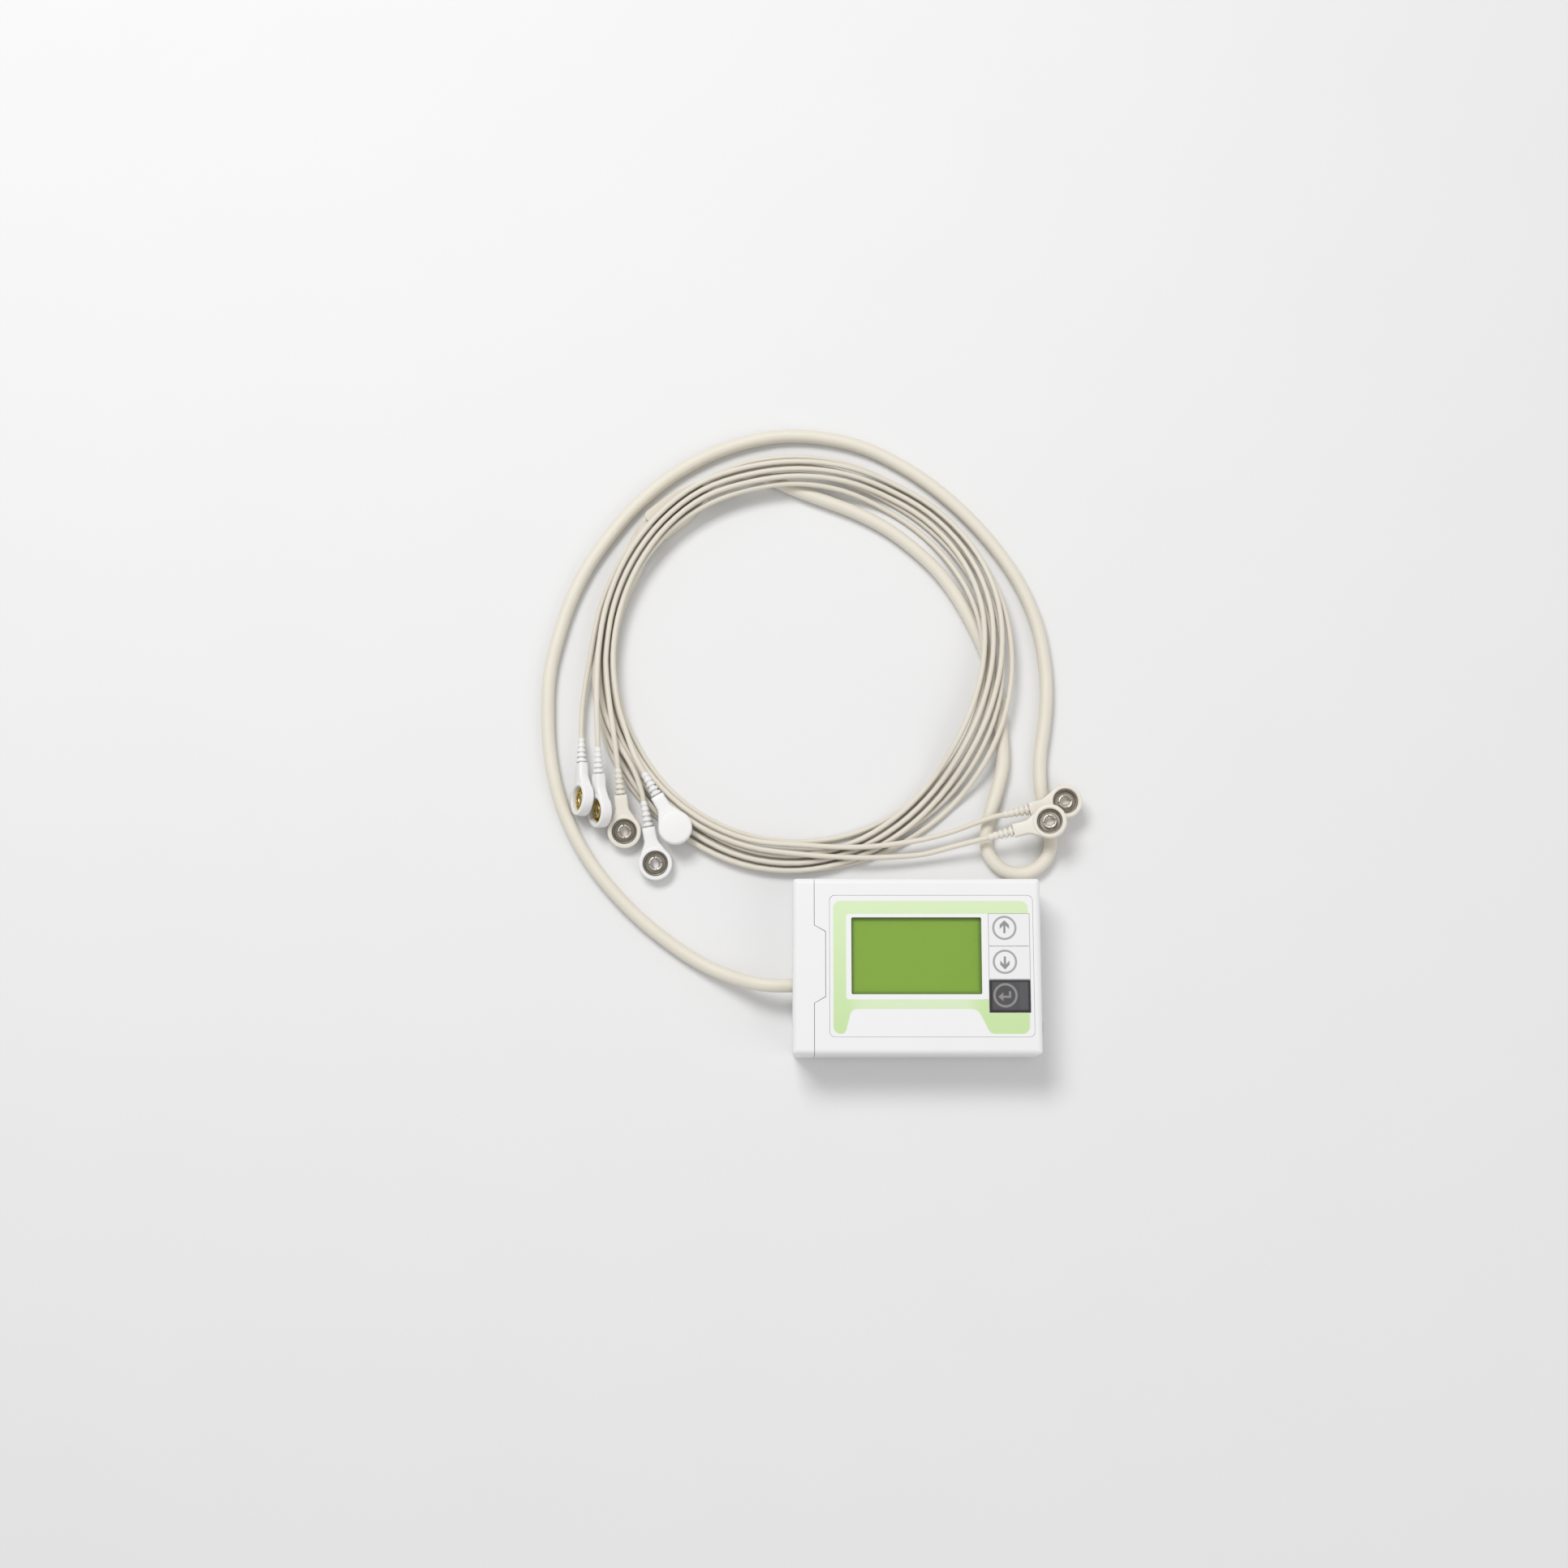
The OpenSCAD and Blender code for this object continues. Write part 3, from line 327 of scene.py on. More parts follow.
class Paint:
    """A procedural material being made: its colour is layered, then its shader is closed."""

    def __init__(self, name, colour, rough, metal=0.0, **sockets):
        self.material = bpy.data.materials.new(name)
        self.material.use_nodes = True
        self.tree = self.material.node_tree
        self.shader = self.tree.nodes["Principled BSDF"]
        self.shader.inputs["Metallic"].default_value = metal
        for key, value in sockets.items():
            self.shader.inputs[key.replace("_", " ")].default_value = value
        self.rough = rough
        coords = self.tree.nodes.new("ShaderNodeTexCoord")
        self.place = coords.outputs["Object"]
        self.colour = (*colour, 1)
        self.material.diffuse_color = (*colour, 1)

    def noise(self, size, detail=NOISE_DETAIL):
        """Noise whose blobs are about size across."""
        node = self.tree.nodes.new("ShaderNodeTexNoise")
        node.inputs["Scale"].default_value = 1 / (size * MM)
        node.inputs["Detail"].default_value = detail
        node.inputs["Roughness"].default_value = NOISE_ROUGHNESS
        self.tree.links.new(self.place, node.inputs["Vector"])
        return Field(self.tree, node.outputs["Fac"])

    def xy(self):
        """The place on the object in millimetres, as two fields."""
        split = self.tree.nodes.new("ShaderNodeSeparateXYZ")
        self.tree.links.new(self.place, split.inputs[0])
        return [Field(self.tree, split.outputs[k]) * (1 / MM) for k in range(2)]

    def tone(self, first, second, amount):
        """Two colours mixed by a field from 0 to 1."""
        node = self.tree.nodes.new("ShaderNodeMix")
        node.data_type = "RGBA"
        node.clamp_factor = True
        inputs = [s for s in node.inputs if s.enabled]
        self.tree.links.new(amount.value, inputs[0])
        for socket, value in ((inputs[1], first), (inputs[2], second)):
            if isinstance(value, bpy.types.NodeSocket):
                self.tree.links.new(value, socket)
            else:
                socket.default_value = (*value[:3], 1)
        return [s for s in node.outputs if s.enabled][0]

    def over(self, colour, amount):
        """Lays a colour over what is there, by a field from 0 to 1."""
        self.colour = self.tone(self.colour, colour, amount)
        return self

    def mottle(self, colour, size, amount):
        """Uneven colour: a second tone in soft blobs."""
        return self.over(colour, self.noise(size) * amount)

    def grime(self, colour, reach, amount):
        """Painted shade: a darker tone where surfaces meet closely, by ambient occlusion."""
        node = self.tree.nodes.new("ShaderNodeAmbientOcclusion")
        node.inputs["Distance"].default_value = reach * MM
        node.samples = AO_SAMPLES
        closed = Field(self.tree, node.outputs["AO"]) * -1 + 1
        return self.over(colour, closed * amount)

    def close(self, grain, bump, rough_swing, rough_size, bevel=0.0):
        """Links colour, uneven roughness, fine surface grain and softened edges."""
        links = self.tree.links
        links.new(self.colour, self.shader.inputs["Base Color"])
        swing = (self.noise(rough_size) - 0.5) * (2 * rough_swing) + self.rough
        links.new(swing.value, self.shader.inputs["Roughness"])
        node = self.tree.nodes.new("ShaderNodeBump")
        node.inputs["Distance"].default_value = bump * MM
        node.inputs["Strength"].default_value = 1
        links.new(self.noise(grain, GRAIN_DETAIL).value, node.inputs["Height"])
        if bevel:
            soft = self.tree.nodes.new("ShaderNodeBevel")
            soft.samples = BEVEL_SAMPLES
            soft.inputs["Radius"].default_value = bevel * MM
            links.new(soft.outputs["Normal"], node.inputs["Normal"])
        links.new(node.outputs["Normal"], self.shader.inputs["Normal"])
        return self.material


def box_shape(x, y, x0, x1, y0, y1, r=0.0):
    """Distance to a rounded rectangle, less than 0 inside it."""
    qx = (x - (x0 + x1) / 2).abs() - ((x1 - x0) / 2 - r)
    qy = (y - (y0 + y1) / 2).abs() - ((y1 - y0) / 2 - r)
    out = (qx.max(0) * qx.max(0) + qy.max(0) * qy.max(0)).op("SQRT")
    return out + qx.max(qy).min(0) - r


def ring_shape(x, y, cx, cy, r, width):
    dx, dy = x - cx, y - cy
    return ((dx * dx + dy * dy).op("SQRT") - r).abs() - width / 2


WHITE = (0.885, 0.88, 0.885)
SHADE = (0.835, 0.83, 0.83)
CREAM = (0.8, 0.755, 0.655)
# How dark the painted shade in crevices is, as a share of each material's colour.
PLASTIC_SHADE_TONE, JACKET_SHADE_TONE = 0.55, 0.45


def plastic(name, colour, second, rough=0.42, bevel=0.25, grime=0.35):
    paint = Paint(name, colour, rough, Specular_IOR_Level=0.45)
    paint.mottle(second, size=22, amount=0.6).mottle(second, size=1.3, amount=0.25)
    # Painted shade in the plastic's crevices and seams.
    paint.grime(tuple(PLASTIC_SHADE_TONE * c for c in colour), reach=1.2, amount=grime)
    return paint.close(grain=0.28, bump=0.006, rough_swing=0.07, rough_size=5, bevel=bevel)


def soft_jacket(name, colour, second, rough=0.5):
    paint = Paint(name, colour, rough, Specular_IOR_Level=0.4, Sheen_Weight=0.06)
    paint.mottle(second, size=9, amount=0.7).mottle(second, size=0.8, amount=0.3)
    # Painted shade where the cords lie close to other surfaces.
    paint.grime(tuple(JACKET_SHADE_TONE * c for c in colour), reach=2.2, amount=0.45)
    return paint.close(grain=0.25, bump=0.006, rough_swing=0.08, rough_size=3)


def metal(name, colour, second, rough=0.3):
    paint = Paint(name, colour, rough, metal=1.0)
    paint.mottle(second, size=0.9, amount=0.8).mottle(second, size=0.2, amount=0.4)
    return paint.close(grain=0.12, bump=0.004, rough_swing=0.12, rough_size=0.8, bevel=0.1)


mats = {}


def add(make, name, colour, second, **options):
    mats[name] = make(name, colour, second, **options)


# The face and the end cap get less painted shade in their crevices.
add(plastic, "front_white", WHITE, SHADE, grime=0.1)
add(plastic, "rear_white", (0.83, 0.825, 0.815), (0.77, 0.76, 0.745))
add(plastic, "cap_white", (0.88, 0.878, 0.882), (0.825, 0.82, 0.82), grime=0.1)
add(plastic, "display_holder", (0.8, 0.8, 0.79), (0.7, 0.7, 0.69))
add(plastic, "black_parts", (0.03, 0.03, 0.032), (0.05, 0.05, 0.055))
add(plastic, "header_plastic", (0.8, 0.74, 0.6), (0.74, 0.68, 0.55))
add(plastic, "board", (0.02, 0.13, 0.05), (0.03, 0.17, 0.07), rough=0.3)
add(soft_jacket, "soft_cover", (0.8, 0.79, 0.77), (0.72, 0.71, 0.69), rough=0.6)
add(soft_jacket, "cable_jacket", CREAM, (0.735, 0.69, 0.59))
add(soft_jacket, "lead_jacket", (0.78, 0.735, 0.64), (0.7, 0.65, 0.55))
add(soft_jacket, "cable_fitting", (0.76, 0.71, 0.61), (0.68, 0.63, 0.53))
add(plastic, "clip_plastic", (0.83, 0.79, 0.71), (0.77, 0.72, 0.635), rough=0.4, bevel=0.15)
add(plastic, "clip_white", (0.88, 0.875, 0.865), (0.825, 0.815, 0.8), rough=0.4, bevel=0.15)
add(metal, "bright_steel", (0.6, 0.61, 0.62), (0.5, 0.5, 0.5))
add(metal, "spring_steel", (0.66, 0.66, 0.66), (0.56, 0.56, 0.57), rough=0.25)
add(metal, "screw_steel", (0.36, 0.36, 0.37), (0.26, 0.26, 0.27), rough=0.38)
# The steel pans' dark tone is partly their metal and partly painted shade of the recess they sit
# in.
add(metal, "steel_socket", (0.4, 0.365, 0.32), (0.25, 0.225, 0.19), rough=0.42)
add(metal, "brass_socket", (0.75, 0.6, 0.2), (0.52, 0.4, 0.12), rough=0.4)
add(metal, "socket_tube", (0.86, 0.82, 0.74), (0.68, 0.64, 0.56), rough=0.34)


# ---- the printed face: film, display and lens; boxes are x0, x1, y0, y1 and corner radius ----

GREEN_BOX = (-31.3, 41.7, -25.3, 24.4, 2.7)
KEYS_BOX = (25, 60, -12.4, 19.5, 0.5)
BORDER_BOX = (-26.5, 25.4, -12.5, 19.5, 1.0)
NAME_SIDES = ((-0.969, 0.247, 19.8), (0.894, 0.447, 12.9))
NAME_TOP = -16.1
NAME_ROUND, NAME_TOP_ROUND, GREEN_ROUND = 1, 3.4, 2.4
GREEN_HIGH, GREEN_LOW = (0.695, 0.835, 0.525), (0.575, 0.76, 0.38)
FADE_TOP, FADE_LENGTH = 24.4, 50
PALE_BOX, PALE_EDGE, PALE_GREEN = (-23, 21, -18, 0), 3, (0.70, 0.82, 0.55)
GREEN_EDGE = 0.16
LINE_X, LINE_Y, LINE_REACH = 41.95, -1.5, 22
LINE_HALF, LINE_EDGE, LINE_AMOUNT = 0.07, 0.05, 0.5
LINE_COLOUR = (0.68, 0.62, 0.62)

DISPLAY_BOX = (-23.9, 23.6, -9.9, 17.5, 0.4)
DISPLAY_GREEN, DISPLAY_SECOND = (0.215, 0.385, 0.035), (0.25, 0.415, 0.05)
DOT_PITCH, DOT_COLOUR, DOT_AMOUNT = 0.38, (0.17, 0.33, 0.035), 0.22
RIM_SLOPE, RIM_START, RIM_MOST, RIM_SHADE_COLOUR = 0.8, 0.72, 0.8, (0.11, 0.215, 0.03)


def printed_film():
    """White film with the pale green frame round the display; the name area stays bare."""
    paint = Paint("printed_film", WHITE, 0.38, Specular_IOR_Level=0.45)
    paint.mottle(SHADE, size=22, amount=0.5)
    x, y = paint.xy()
    whole = box_shape(x, y, *GREEN_BOX)
    keys = box_shape(x, y, *KEYS_BOX)
    left, right = [x * a + y * b - c for a, b, c in NAME_SIDES]
    name_area = left.op("SMOOTH_MAX", right, NAME_ROUND)
    name_area = name_area.op("SMOOTH_MAX", y - NAME_TOP, NAME_TOP_ROUND)
    green = whole.max(keys * -1).op("SMOOTH_MAX", name_area * -1, GREEN_ROUND)
    green = green.max(box_shape(x, y, *BORDER_BOX) * -1)
    fade = (y * -1 + FADE_TOP) * (1 / FADE_LENGTH)
    pale = box_shape(x, y, *PALE_BOX).inside(PALE_EDGE)
    print_tone = paint.tone(GREEN_HIGH, GREEN_LOW, fade)
    print_tone = paint.tone(print_tone, PALE_GREEN, pale)
    paint.over(print_tone, green.inside(GREEN_EDGE))
    line = ((x - LINE_X).abs() - LINE_HALF).max((y - LINE_Y).abs() - LINE_REACH)
    paint.over(LINE_COLOUR, line.inside(LINE_EDGE) * LINE_AMOUNT)
    return paint.close(grain=0.35, bump=0.004, rough_swing=0.05, rough_size=6, bevel=0.12)


def display_glass():
    """Reflective green display with its faint dot pattern, and painted shade that darkens it at its
    rim.
    """
    paint = Paint("display", DISPLAY_GREEN, 0.26, Specular_IOR_Level=0.35)
    paint.mottle(DISPLAY_SECOND, size=14, amount=0.8)
    x, y = paint.xy()
    wave = 2 * math.pi / DOT_PITCH
    dots = (x * wave).op("SINE") * (y * wave).op("SINE")
    paint.over(DOT_COLOUR, (dots * 0.5 + 0.5) * DOT_AMOUNT)
    # Painted shade: the green darkens within about a millimetre of the display's edge, standing for
    # the shade of the recess round it.
    rim = box_shape(x, y, *DISPLAY_BOX).op("MULTIPLY_ADD", RIM_SLOPE, RIM_START)
    paint.over(RIM_SHADE_COLOUR, rim.max(0).min(RIM_MOST))
    return paint.close(grain=0.4, bump=0.002, rough_swing=0.03, rough_size=4)


def clear_lens():
    paint = Paint("clear_lens", (0.5, 0.66, 0.25), 0.05, Alpha=0.05, Specular_IOR_Level=0.4)
    paint.mottle((0.42, 0.58, 0.2), size=18, amount=0.4)
    return paint.close(grain=0.5, bump=0.001, rough_swing=0.02, rough_size=8)


# ---- the keys' faces and the cell's sleeve; the signs on the keys are generic ----

KEY_X = 32.8
KEY_ROWS = {"up_key": 14.2, "down_key": 1.5, "enter_key": -11.0}
MARK_EDGE = 0.14
RING_R, RING_W, RING_COLOUR, RING_AMOUNT = 4.15, 0.8, (0.2, 0.195, 0.2), 0.72
ARROW_COLOUR, ARROW_AMOUNT = (0.16, 0.155, 0.16), 0.82
STEM_HALF_W, STEM_HALF_L, STEM_R = 0.42, 2, 0.1
TIP, BARB_HALF, BARB_REACH, DIAGONAL = 2.1, 0.55, 1.75, 0.7071

ENTER_X, ENTER_Y, ENTER_R = (27.9, 41.3), (-5.4, 5), 0.5
STRIP_X, STRIP_Y, STRIP_R = (38.2, 41.2), (-5.2, 4.9), 0.3
ENTER_RING_R, ENTER_RING_W = 4.1, 0.85
SIGN_LEFT, SIGN_RIGHT, SIGN_LOW, SIGN_TOP = -2, 2.1, -0.95, 1.5
SIGN_W = 0.8
HEAD_TIP, HEAD_END, HEAD_SLOPE = -2.7, -0.8, 0.85
SIGN_COLOUR, SIGN_EDGE, SIGN_AMOUNT = (0.3, 0.29, 0.295), 0.12, 0.85

CELL_X, SLEEVE_HALF = -4, 23.2


def arrow_shape(x, y, cx, cy, up):
    """An arrow of a stem and two barbs that points up (1) or down (-1)."""
    stem = box_shape(x, y, cx - STEM_HALF_W, cx + STEM_HALF_W,
                     cy - STEM_HALF_L, cy + STEM_HALF_L, STEM_R)
    dx = (x - cx).abs()
    rise = (y - (cy + up * TIP)) * up
    barbs = ((dx + rise) * DIAGONAL).abs() - BARB_HALF
    return stem.min(barbs.max(dx - BARB_REACH))


def white_key(name, up):
    paint = Paint(name, (0.86, 0.855, 0.858), 0.42, Specular_IOR_Level=0.45)
    paint.mottle((0.81, 0.805, 0.805), size=12, amount=0.6)
    x, y = paint.xy()
    cy = KEY_ROWS[name]
    ring = ring_shape(x, y, KEY_X, cy, RING_R, RING_W)
    paint.over(RING_COLOUR, ring.inside(MARK_EDGE) * RING_AMOUNT)
    arrow = arrow_shape(x, y, KEY_X, cy, up)
    paint.over(ARROW_COLOUR, arrow.inside(MARK_EDGE) * ARROW_AMOUNT)
    return paint.close(grain=0.3, bump=0.005, rough_swing=0.06, rough_size=5, bevel=0.2)


def dark_key():
    """The enter key: painted shade as a dark band round its edge, a plain strip at the right, and a
    ring with a bent arrow.
    """
    paint = Paint("dark_key", (0.065, 0.062, 0.066), 0.4, Specular_IOR_Level=0.5)
    paint.mottle((0.1, 0.096, 0.1), size=5, amount=0.7)
    x, y = paint.xy()
    cy = KEY_ROWS["enter_key"]
    strip = box_shape(x, y, *STRIP_X, *(cy + v for v in STRIP_Y), STRIP_R)
    paint.over((0.088, 0.086, 0.092), strip.inside(0.15))
    # Painted shade: the key darkens outside its inner box, in a band round its edge.
    edge = box_shape(x, y, *ENTER_X, *(cy + v for v in ENTER_Y), ENTER_R)
    paint.over((0.022, 0.022, 0.025), (edge * -1).inside(0.25))
    ring = ring_shape(x, y, KEY_X, cy, ENTER_RING_R, ENTER_RING_W)
    low, left, right = cy + SIGN_LOW, KEY_X + SIGN_LEFT, KEY_X + SIGN_RIGHT
    bar = box_shape(x, y, left, right, low, low + SIGN_W)
    hook = box_shape(x, y, right - SIGN_W, right, low, cy + SIGN_TOP)
    middle = low + SIGN_W / 2
    head = (y - middle).abs() - (x - (KEY_X + HEAD_TIP)) * HEAD_SLOPE
    head = head.max(x - (KEY_X + HEAD_END))
    sign = ring.min(bar).min(hook).min(head)
    paint.over(SIGN_COLOUR, sign.inside(SIGN_EDGE) * SIGN_AMOUNT)
    return paint.close(grain=0.3, bump=0.006, rough_swing=0.06, rough_size=5, bevel=0.25)


def cell_sleeve():
    """Dark sleeve with bare metal at the cell's ends."""
    paint = Paint("cell", (0.06, 0.09, 0.2), 0.32, metal=0.2)
    paint.mottle((0.08, 0.12, 0.26), size=8, amount=0.6)
    x, _ = paint.xy()
    paint.over((0.55, 0.56, 0.58), ((x - CELL_X).abs() * -1 + SLEEVE_HALF).inside(0.1))
    return paint.close(grain=0.3, bump=0.004, rough_swing=0.06, rough_size=3, bevel=0.3)


mats["printed_film"] = printed_film()
mats["display"] = display_glass()
mats["clear_lens"] = clear_lens()
mats["cell"] = cell_sleeve()
mats["dark_key"] = dark_key()
own = {"up_key": white_key("up_key", 1), "down_key": white_key("down_key", -1)}
slot_of = {s["node"]: s["material_slot"] for s in record["subparts"]}
for name, node in frame["nodes"].items():
    material = own.get(name) or mats[slot_of[name]]
    if not node.material_slots:
        node.data.materials.append(material)
    for s in node.material_slots:
        s.material = material


# ---- mesh helpers; all but the finished pieces are in millimetres ----

MERGE = 1e-5


def new_piece(name, mesh, material):
    piece = bpy.data.objects.new(name, mesh)
    bpy.context.scene.collection.objects.link(piece)
    if material:
        mesh.materials.append(material)
    return piece


def to_mesh(bm, name, turn=None):
    if turn is not None:
        bm.transform(turn)
    mesh = bpy.data.meshes.new(name)
    bm.to_mesh(mesh)
    bm.free()
    return mesh


def skin(bm, sections):
    """Faces along a row of equal rings of vertices, closed at both ends."""
    for a, b in zip(sections, sections[1:]):
        for n in range(len(a)):
            m = (n + 1) % len(a)
            bm.faces.new([a[n], a[m], b[m], b[n]])
    bm.faces.new(sections[0])
    bm.faces.new(sections[-1][::-1])


def lathe(profile, sides, start=0, turn=360):
    """Solid of revolution about Z of a closed profile of (radius, z), as a bmesh."""
    bm = bmesh.new()
    whole = turn == 360
    steps = sides if whole else sides + 1
    rings = []
    for k in range(steps):
        a = start + turn * k / sides
        rings.append([bm.verts.new((r * cosd(a), r * sind(a), z)) for r, z in profile])
    for k in range(sides):
        here, there = rings[k], rings[(k + 1) % steps]
        for n in range(len(profile)):
            m = (n + 1) % len(profile)
            bm.faces.new([here[n], there[n], there[m], here[m]])
    if not whole:
        bm.faces.new(rings[0])
        bm.faces.new(rings[-1][::-1])
    bmesh.ops.remove_doubles(bm, verts=bm.verts, dist=MERGE)
    bmesh.ops.dissolve_degenerate(bm, dist=MERGE, edges=bm.edges)
    bmesh.ops.recalc_face_normals(bm, faces=bm.faces)
    return bm


def arc(cx, cz, r, a0, a1, n):
    """Points of a rounded corner of a profile."""
    return [(cx + r * cosd(a0 + (a1 - a0) * k / n), cz + r * sind(a0 + (a1 - a0) * k / n))
            for k in range(n + 1)]


def applied(piece):
    """The piece's mesh with its modifiers applied, as a new mesh; the piece goes away."""
    graph = bpy.context.evaluated_depsgraph_get()
    mesh = bpy.data.meshes.new_from_object(piece.evaluated_get(graph))
    bpy.data.objects.remove(piece)
    return mesh


def combine(base, others):
    """Exact union or difference of a mesh with others, given as (operation, mesh)."""
    piece = new_piece("work", base, None)
    tools = []
    for operation, mesh in others:
        tool = new_piece("tool", mesh, None)
        tools.append(tool)
        cutter = piece.modifiers.new("join", "BOOLEAN")
        cutter.operation, cutter.object, cutter.solver = operation, tool, "EXACT"
    result = applied(piece)
    for tool in tools:
        bpy.data.objects.remove(tool)
    return result


# ---- seal in the seams round the keys, just under the face ----

KEY_X0, KEY_X1, KEY_Y0 = 26.9, 42.1, -17.3
KEY_H, KEY_GAP, KEY_PLAY, KEY_COUNT = 12, 0.4, 0.2, 3
SEAL_Z = (22.6, 23.8)
SEAL_CLEAR = 0.02


def seal_mesh():
    """A thin frame with one opening for each key."""
    c = SEAL_CLEAR
    xs = (KEY_X0 - KEY_PLAY + c, KEY_X0 - c, KEY_X1 + c, KEY_X1 + KEY_PLAY - c)
    ys = [KEY_Y0 - KEY_PLAY + c]
    for row in range(KEY_COUNT):
        y = KEY_Y0 + row * (KEY_H + KEY_GAP)
        ys += [y - c, y + KEY_H + c]
    ys.append(ys[-1] + KEY_PLAY - 2 * c)
    bm = bmesh.new()
    low, high = [[[bm.verts.new((x * MM, y * MM, z * MM)) for y in ys] for x in xs]
                 for z in SEAL_Z]
    cells = [(a, b) for a in range(3) for b in range(len(ys) - 1) if a != 1 or b % 2 == 0]
    for a, b in cells:
        loop = ((a, b), (a + 1, b), (a + 1, b + 1), (a, b + 1))
        bm.faces.new([high[i][j] for i, j in loop])
        bm.faces.new([low[i][j] for i, j in loop[::-1]])
        for k, beside in enumerate(((a, b - 1), (a + 1, b), (a, b + 1), (a - 1, b))):
            if beside not in cells:
                (i0, j0), (i1, j1) = loop[k], loop[(k + 1) % 4]
                bm.faces.new([low[i0][j0], low[i1][j1], high[i1][j1], high[i0][j0]])
    bmesh.ops.recalc_face_normals(bm, faces=bm.faces)
    return to_mesh(bm, "key_seal")


seal = new_piece("key_seal", seal_mesh(), mats["front_white"])
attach(seal, body)


# ---- clips and sockets; the head's centre is the origin and the wire leaves along -X ----

WHITE_CLIPS = (3, 4, 5, 7)
CLIP_R, CLIP_T = 6.5, 4.6
HEAD_LOW_R, HEAD_HIGH_R = 0.9, 0.6
HEAD_SIDES = 72
NECK_L, NECK_X, NECK_W, NECK_T = 14.2, 9.5, 5.2, 4.0
NECK_START, NECK_ROOT_W, NECK_R = 2.9, 10.6, 0.9
NECK_END_L, NECK_END_THIN = 1.5, 0.5
NECK_STEPS, CORNER_STEPS = 14, 4

RELIEF_PLAY, RELIEF_END_PLAY, RELIEF_END_L = 0.25, 0.06, 0.6
RELIEF_IN, RELIEF_SIDES = 2, 28
RIBS, RIB_PITCH, RIB_START, RIB_L = 5, 2, 0.5, 1.2
RIB_R, RIB_TAPER, RIB_ROUND = 2.1, 0.17, 0.25

POCKET_R, POCKET_FLOOR = 4.8, 1.4
POCKET_LIP = ((0, -0.5), (0.08, -0.25), (0.3, -0.05), (0.5, 0.6))
PAN_PLAY, PAN_HOLE_R, PAN_T, PAN_STEP, PAN_SIDES = 0.1, 2.3, 0.5, 0.75, 64
PAN_RIM_R, PAN_RIM_Z = 0.3, 1.3
TUBE_R, TUBE_HALF_T, TUBE_Z = 2.35, 0.33, 2.3
TUBE_PARTS, TUBE_TURN, TUBE_SLOT, TUBE_SIDES = 4, 80, 10, 14
WIRE_REACH, WIRE_Y, WIRE_BOW = 2.6, 1.15, 0.25
WIRE_Z, WIRE_SAG, WIRE_R = 0.75, 0.25, 0.2
WIRE_STEPS, WIRE_SIDES = 16, 6

SHARP = 38
ALONG_X = Matrix.Rotation(math.radians(-90), 4, "Y")


def neck_mesh():
    """Flat neck with rounded edges that narrows smoothly from the head to the relief."""
    bm = bmesh.new()
    sections = []
    r = NECK_R
    for k in range(NECK_STEPS + 1):
        x = -NECK_START - (NECK_L - NECK_START) * k / NECK_STEPS
        w = NECK_W + (NECK_ROOT_W - NECK_W) * (1 - smooth(NECK_START, NECK_X, -x))
        t = NECK_T - NECK_END_THIN * smooth(NECK_L - NECK_END_L, NECK_L, -x)
        half_y, half_z = w / 2 - r, t / 2 - r
        ring = []
        for cy, cz, start in ((half_y, half_z, 0), (-half_y, half_z, 90),
                              (-half_y, -half_z, 180), (half_y, -half_z, 270)):
            for y, z in arc(cy, cz, r, start, start + 90, CORNER_STEPS):
                ring.append(bm.verts.new((x, y, z)))
        sections.append(ring)
    skin(bm, sections)
    bmesh.ops.recalc_face_normals(bm, faces=bm.faces)
    return to_mesh(bm, "neck")


def relief_mesh():
    """Ribbed strain relief round the wire, behind the neck."""
    core = LEAD_D / 2 + RELIEF_PLAY
    profile = [(0, NECK_L - RELIEF_IN), (core, NECK_L - RELIEF_IN)]
    for k in range(RIBS):
        z, r = NECK_L + RIB_START + RIB_PITCH * k, RIB_R - RIB_TAPER * k
        profile += [(core, z)]
        profile += arc(r - RIB_ROUND, z + RIB_ROUND, RIB_ROUND, 270, 360, 3)
        profile += arc(r - RIB_ROUND, z + RIB_L - RIB_ROUND, RIB_ROUND, 0, 90, 3)
        profile += [(core, z + RIB_L)]
    profile += [(core, CLIP_L - RELIEF_END_L), (LEAD_D / 2 + RELIEF_END_PLAY, CLIP_L)]
    profile += [(0, CLIP_L)]
    return to_mesh(lathe(profile, RELIEF_SIDES), "relief", ALONG_X)


def clip_mesh():
    """Head with the pocket for its socket, neck and strain relief in one solid."""
    half = CLIP_T / 2
    head = [(0, -half)]
    head += arc(CLIP_R - HEAD_LOW_R, -half + HEAD_LOW_R, HEAD_LOW_R, 270, 360, 5)
    head += arc(CLIP_R - HEAD_HIGH_R, half - HEAD_HIGH_R, HEAD_HIGH_R, 0, 90, 4) + [(0, half)]
    pocket = [(0, POCKET_FLOOR - half), (POCKET_R, POCKET_FLOOR - half)]
    pocket += [(POCKET_R + wider, half + higher) for wider, higher in POCKET_LIP]
    pocket += [(0, half + POCKET_LIP[-1][1])]
    return combine(to_mesh(lathe(head, HEAD_SIDES), "head"), [
        ("UNION", neck_mesh()), ("UNION", relief_mesh()),
        ("DIFFERENCE", to_mesh(lathe(pocket, HEAD_SIDES), "pocket"))])


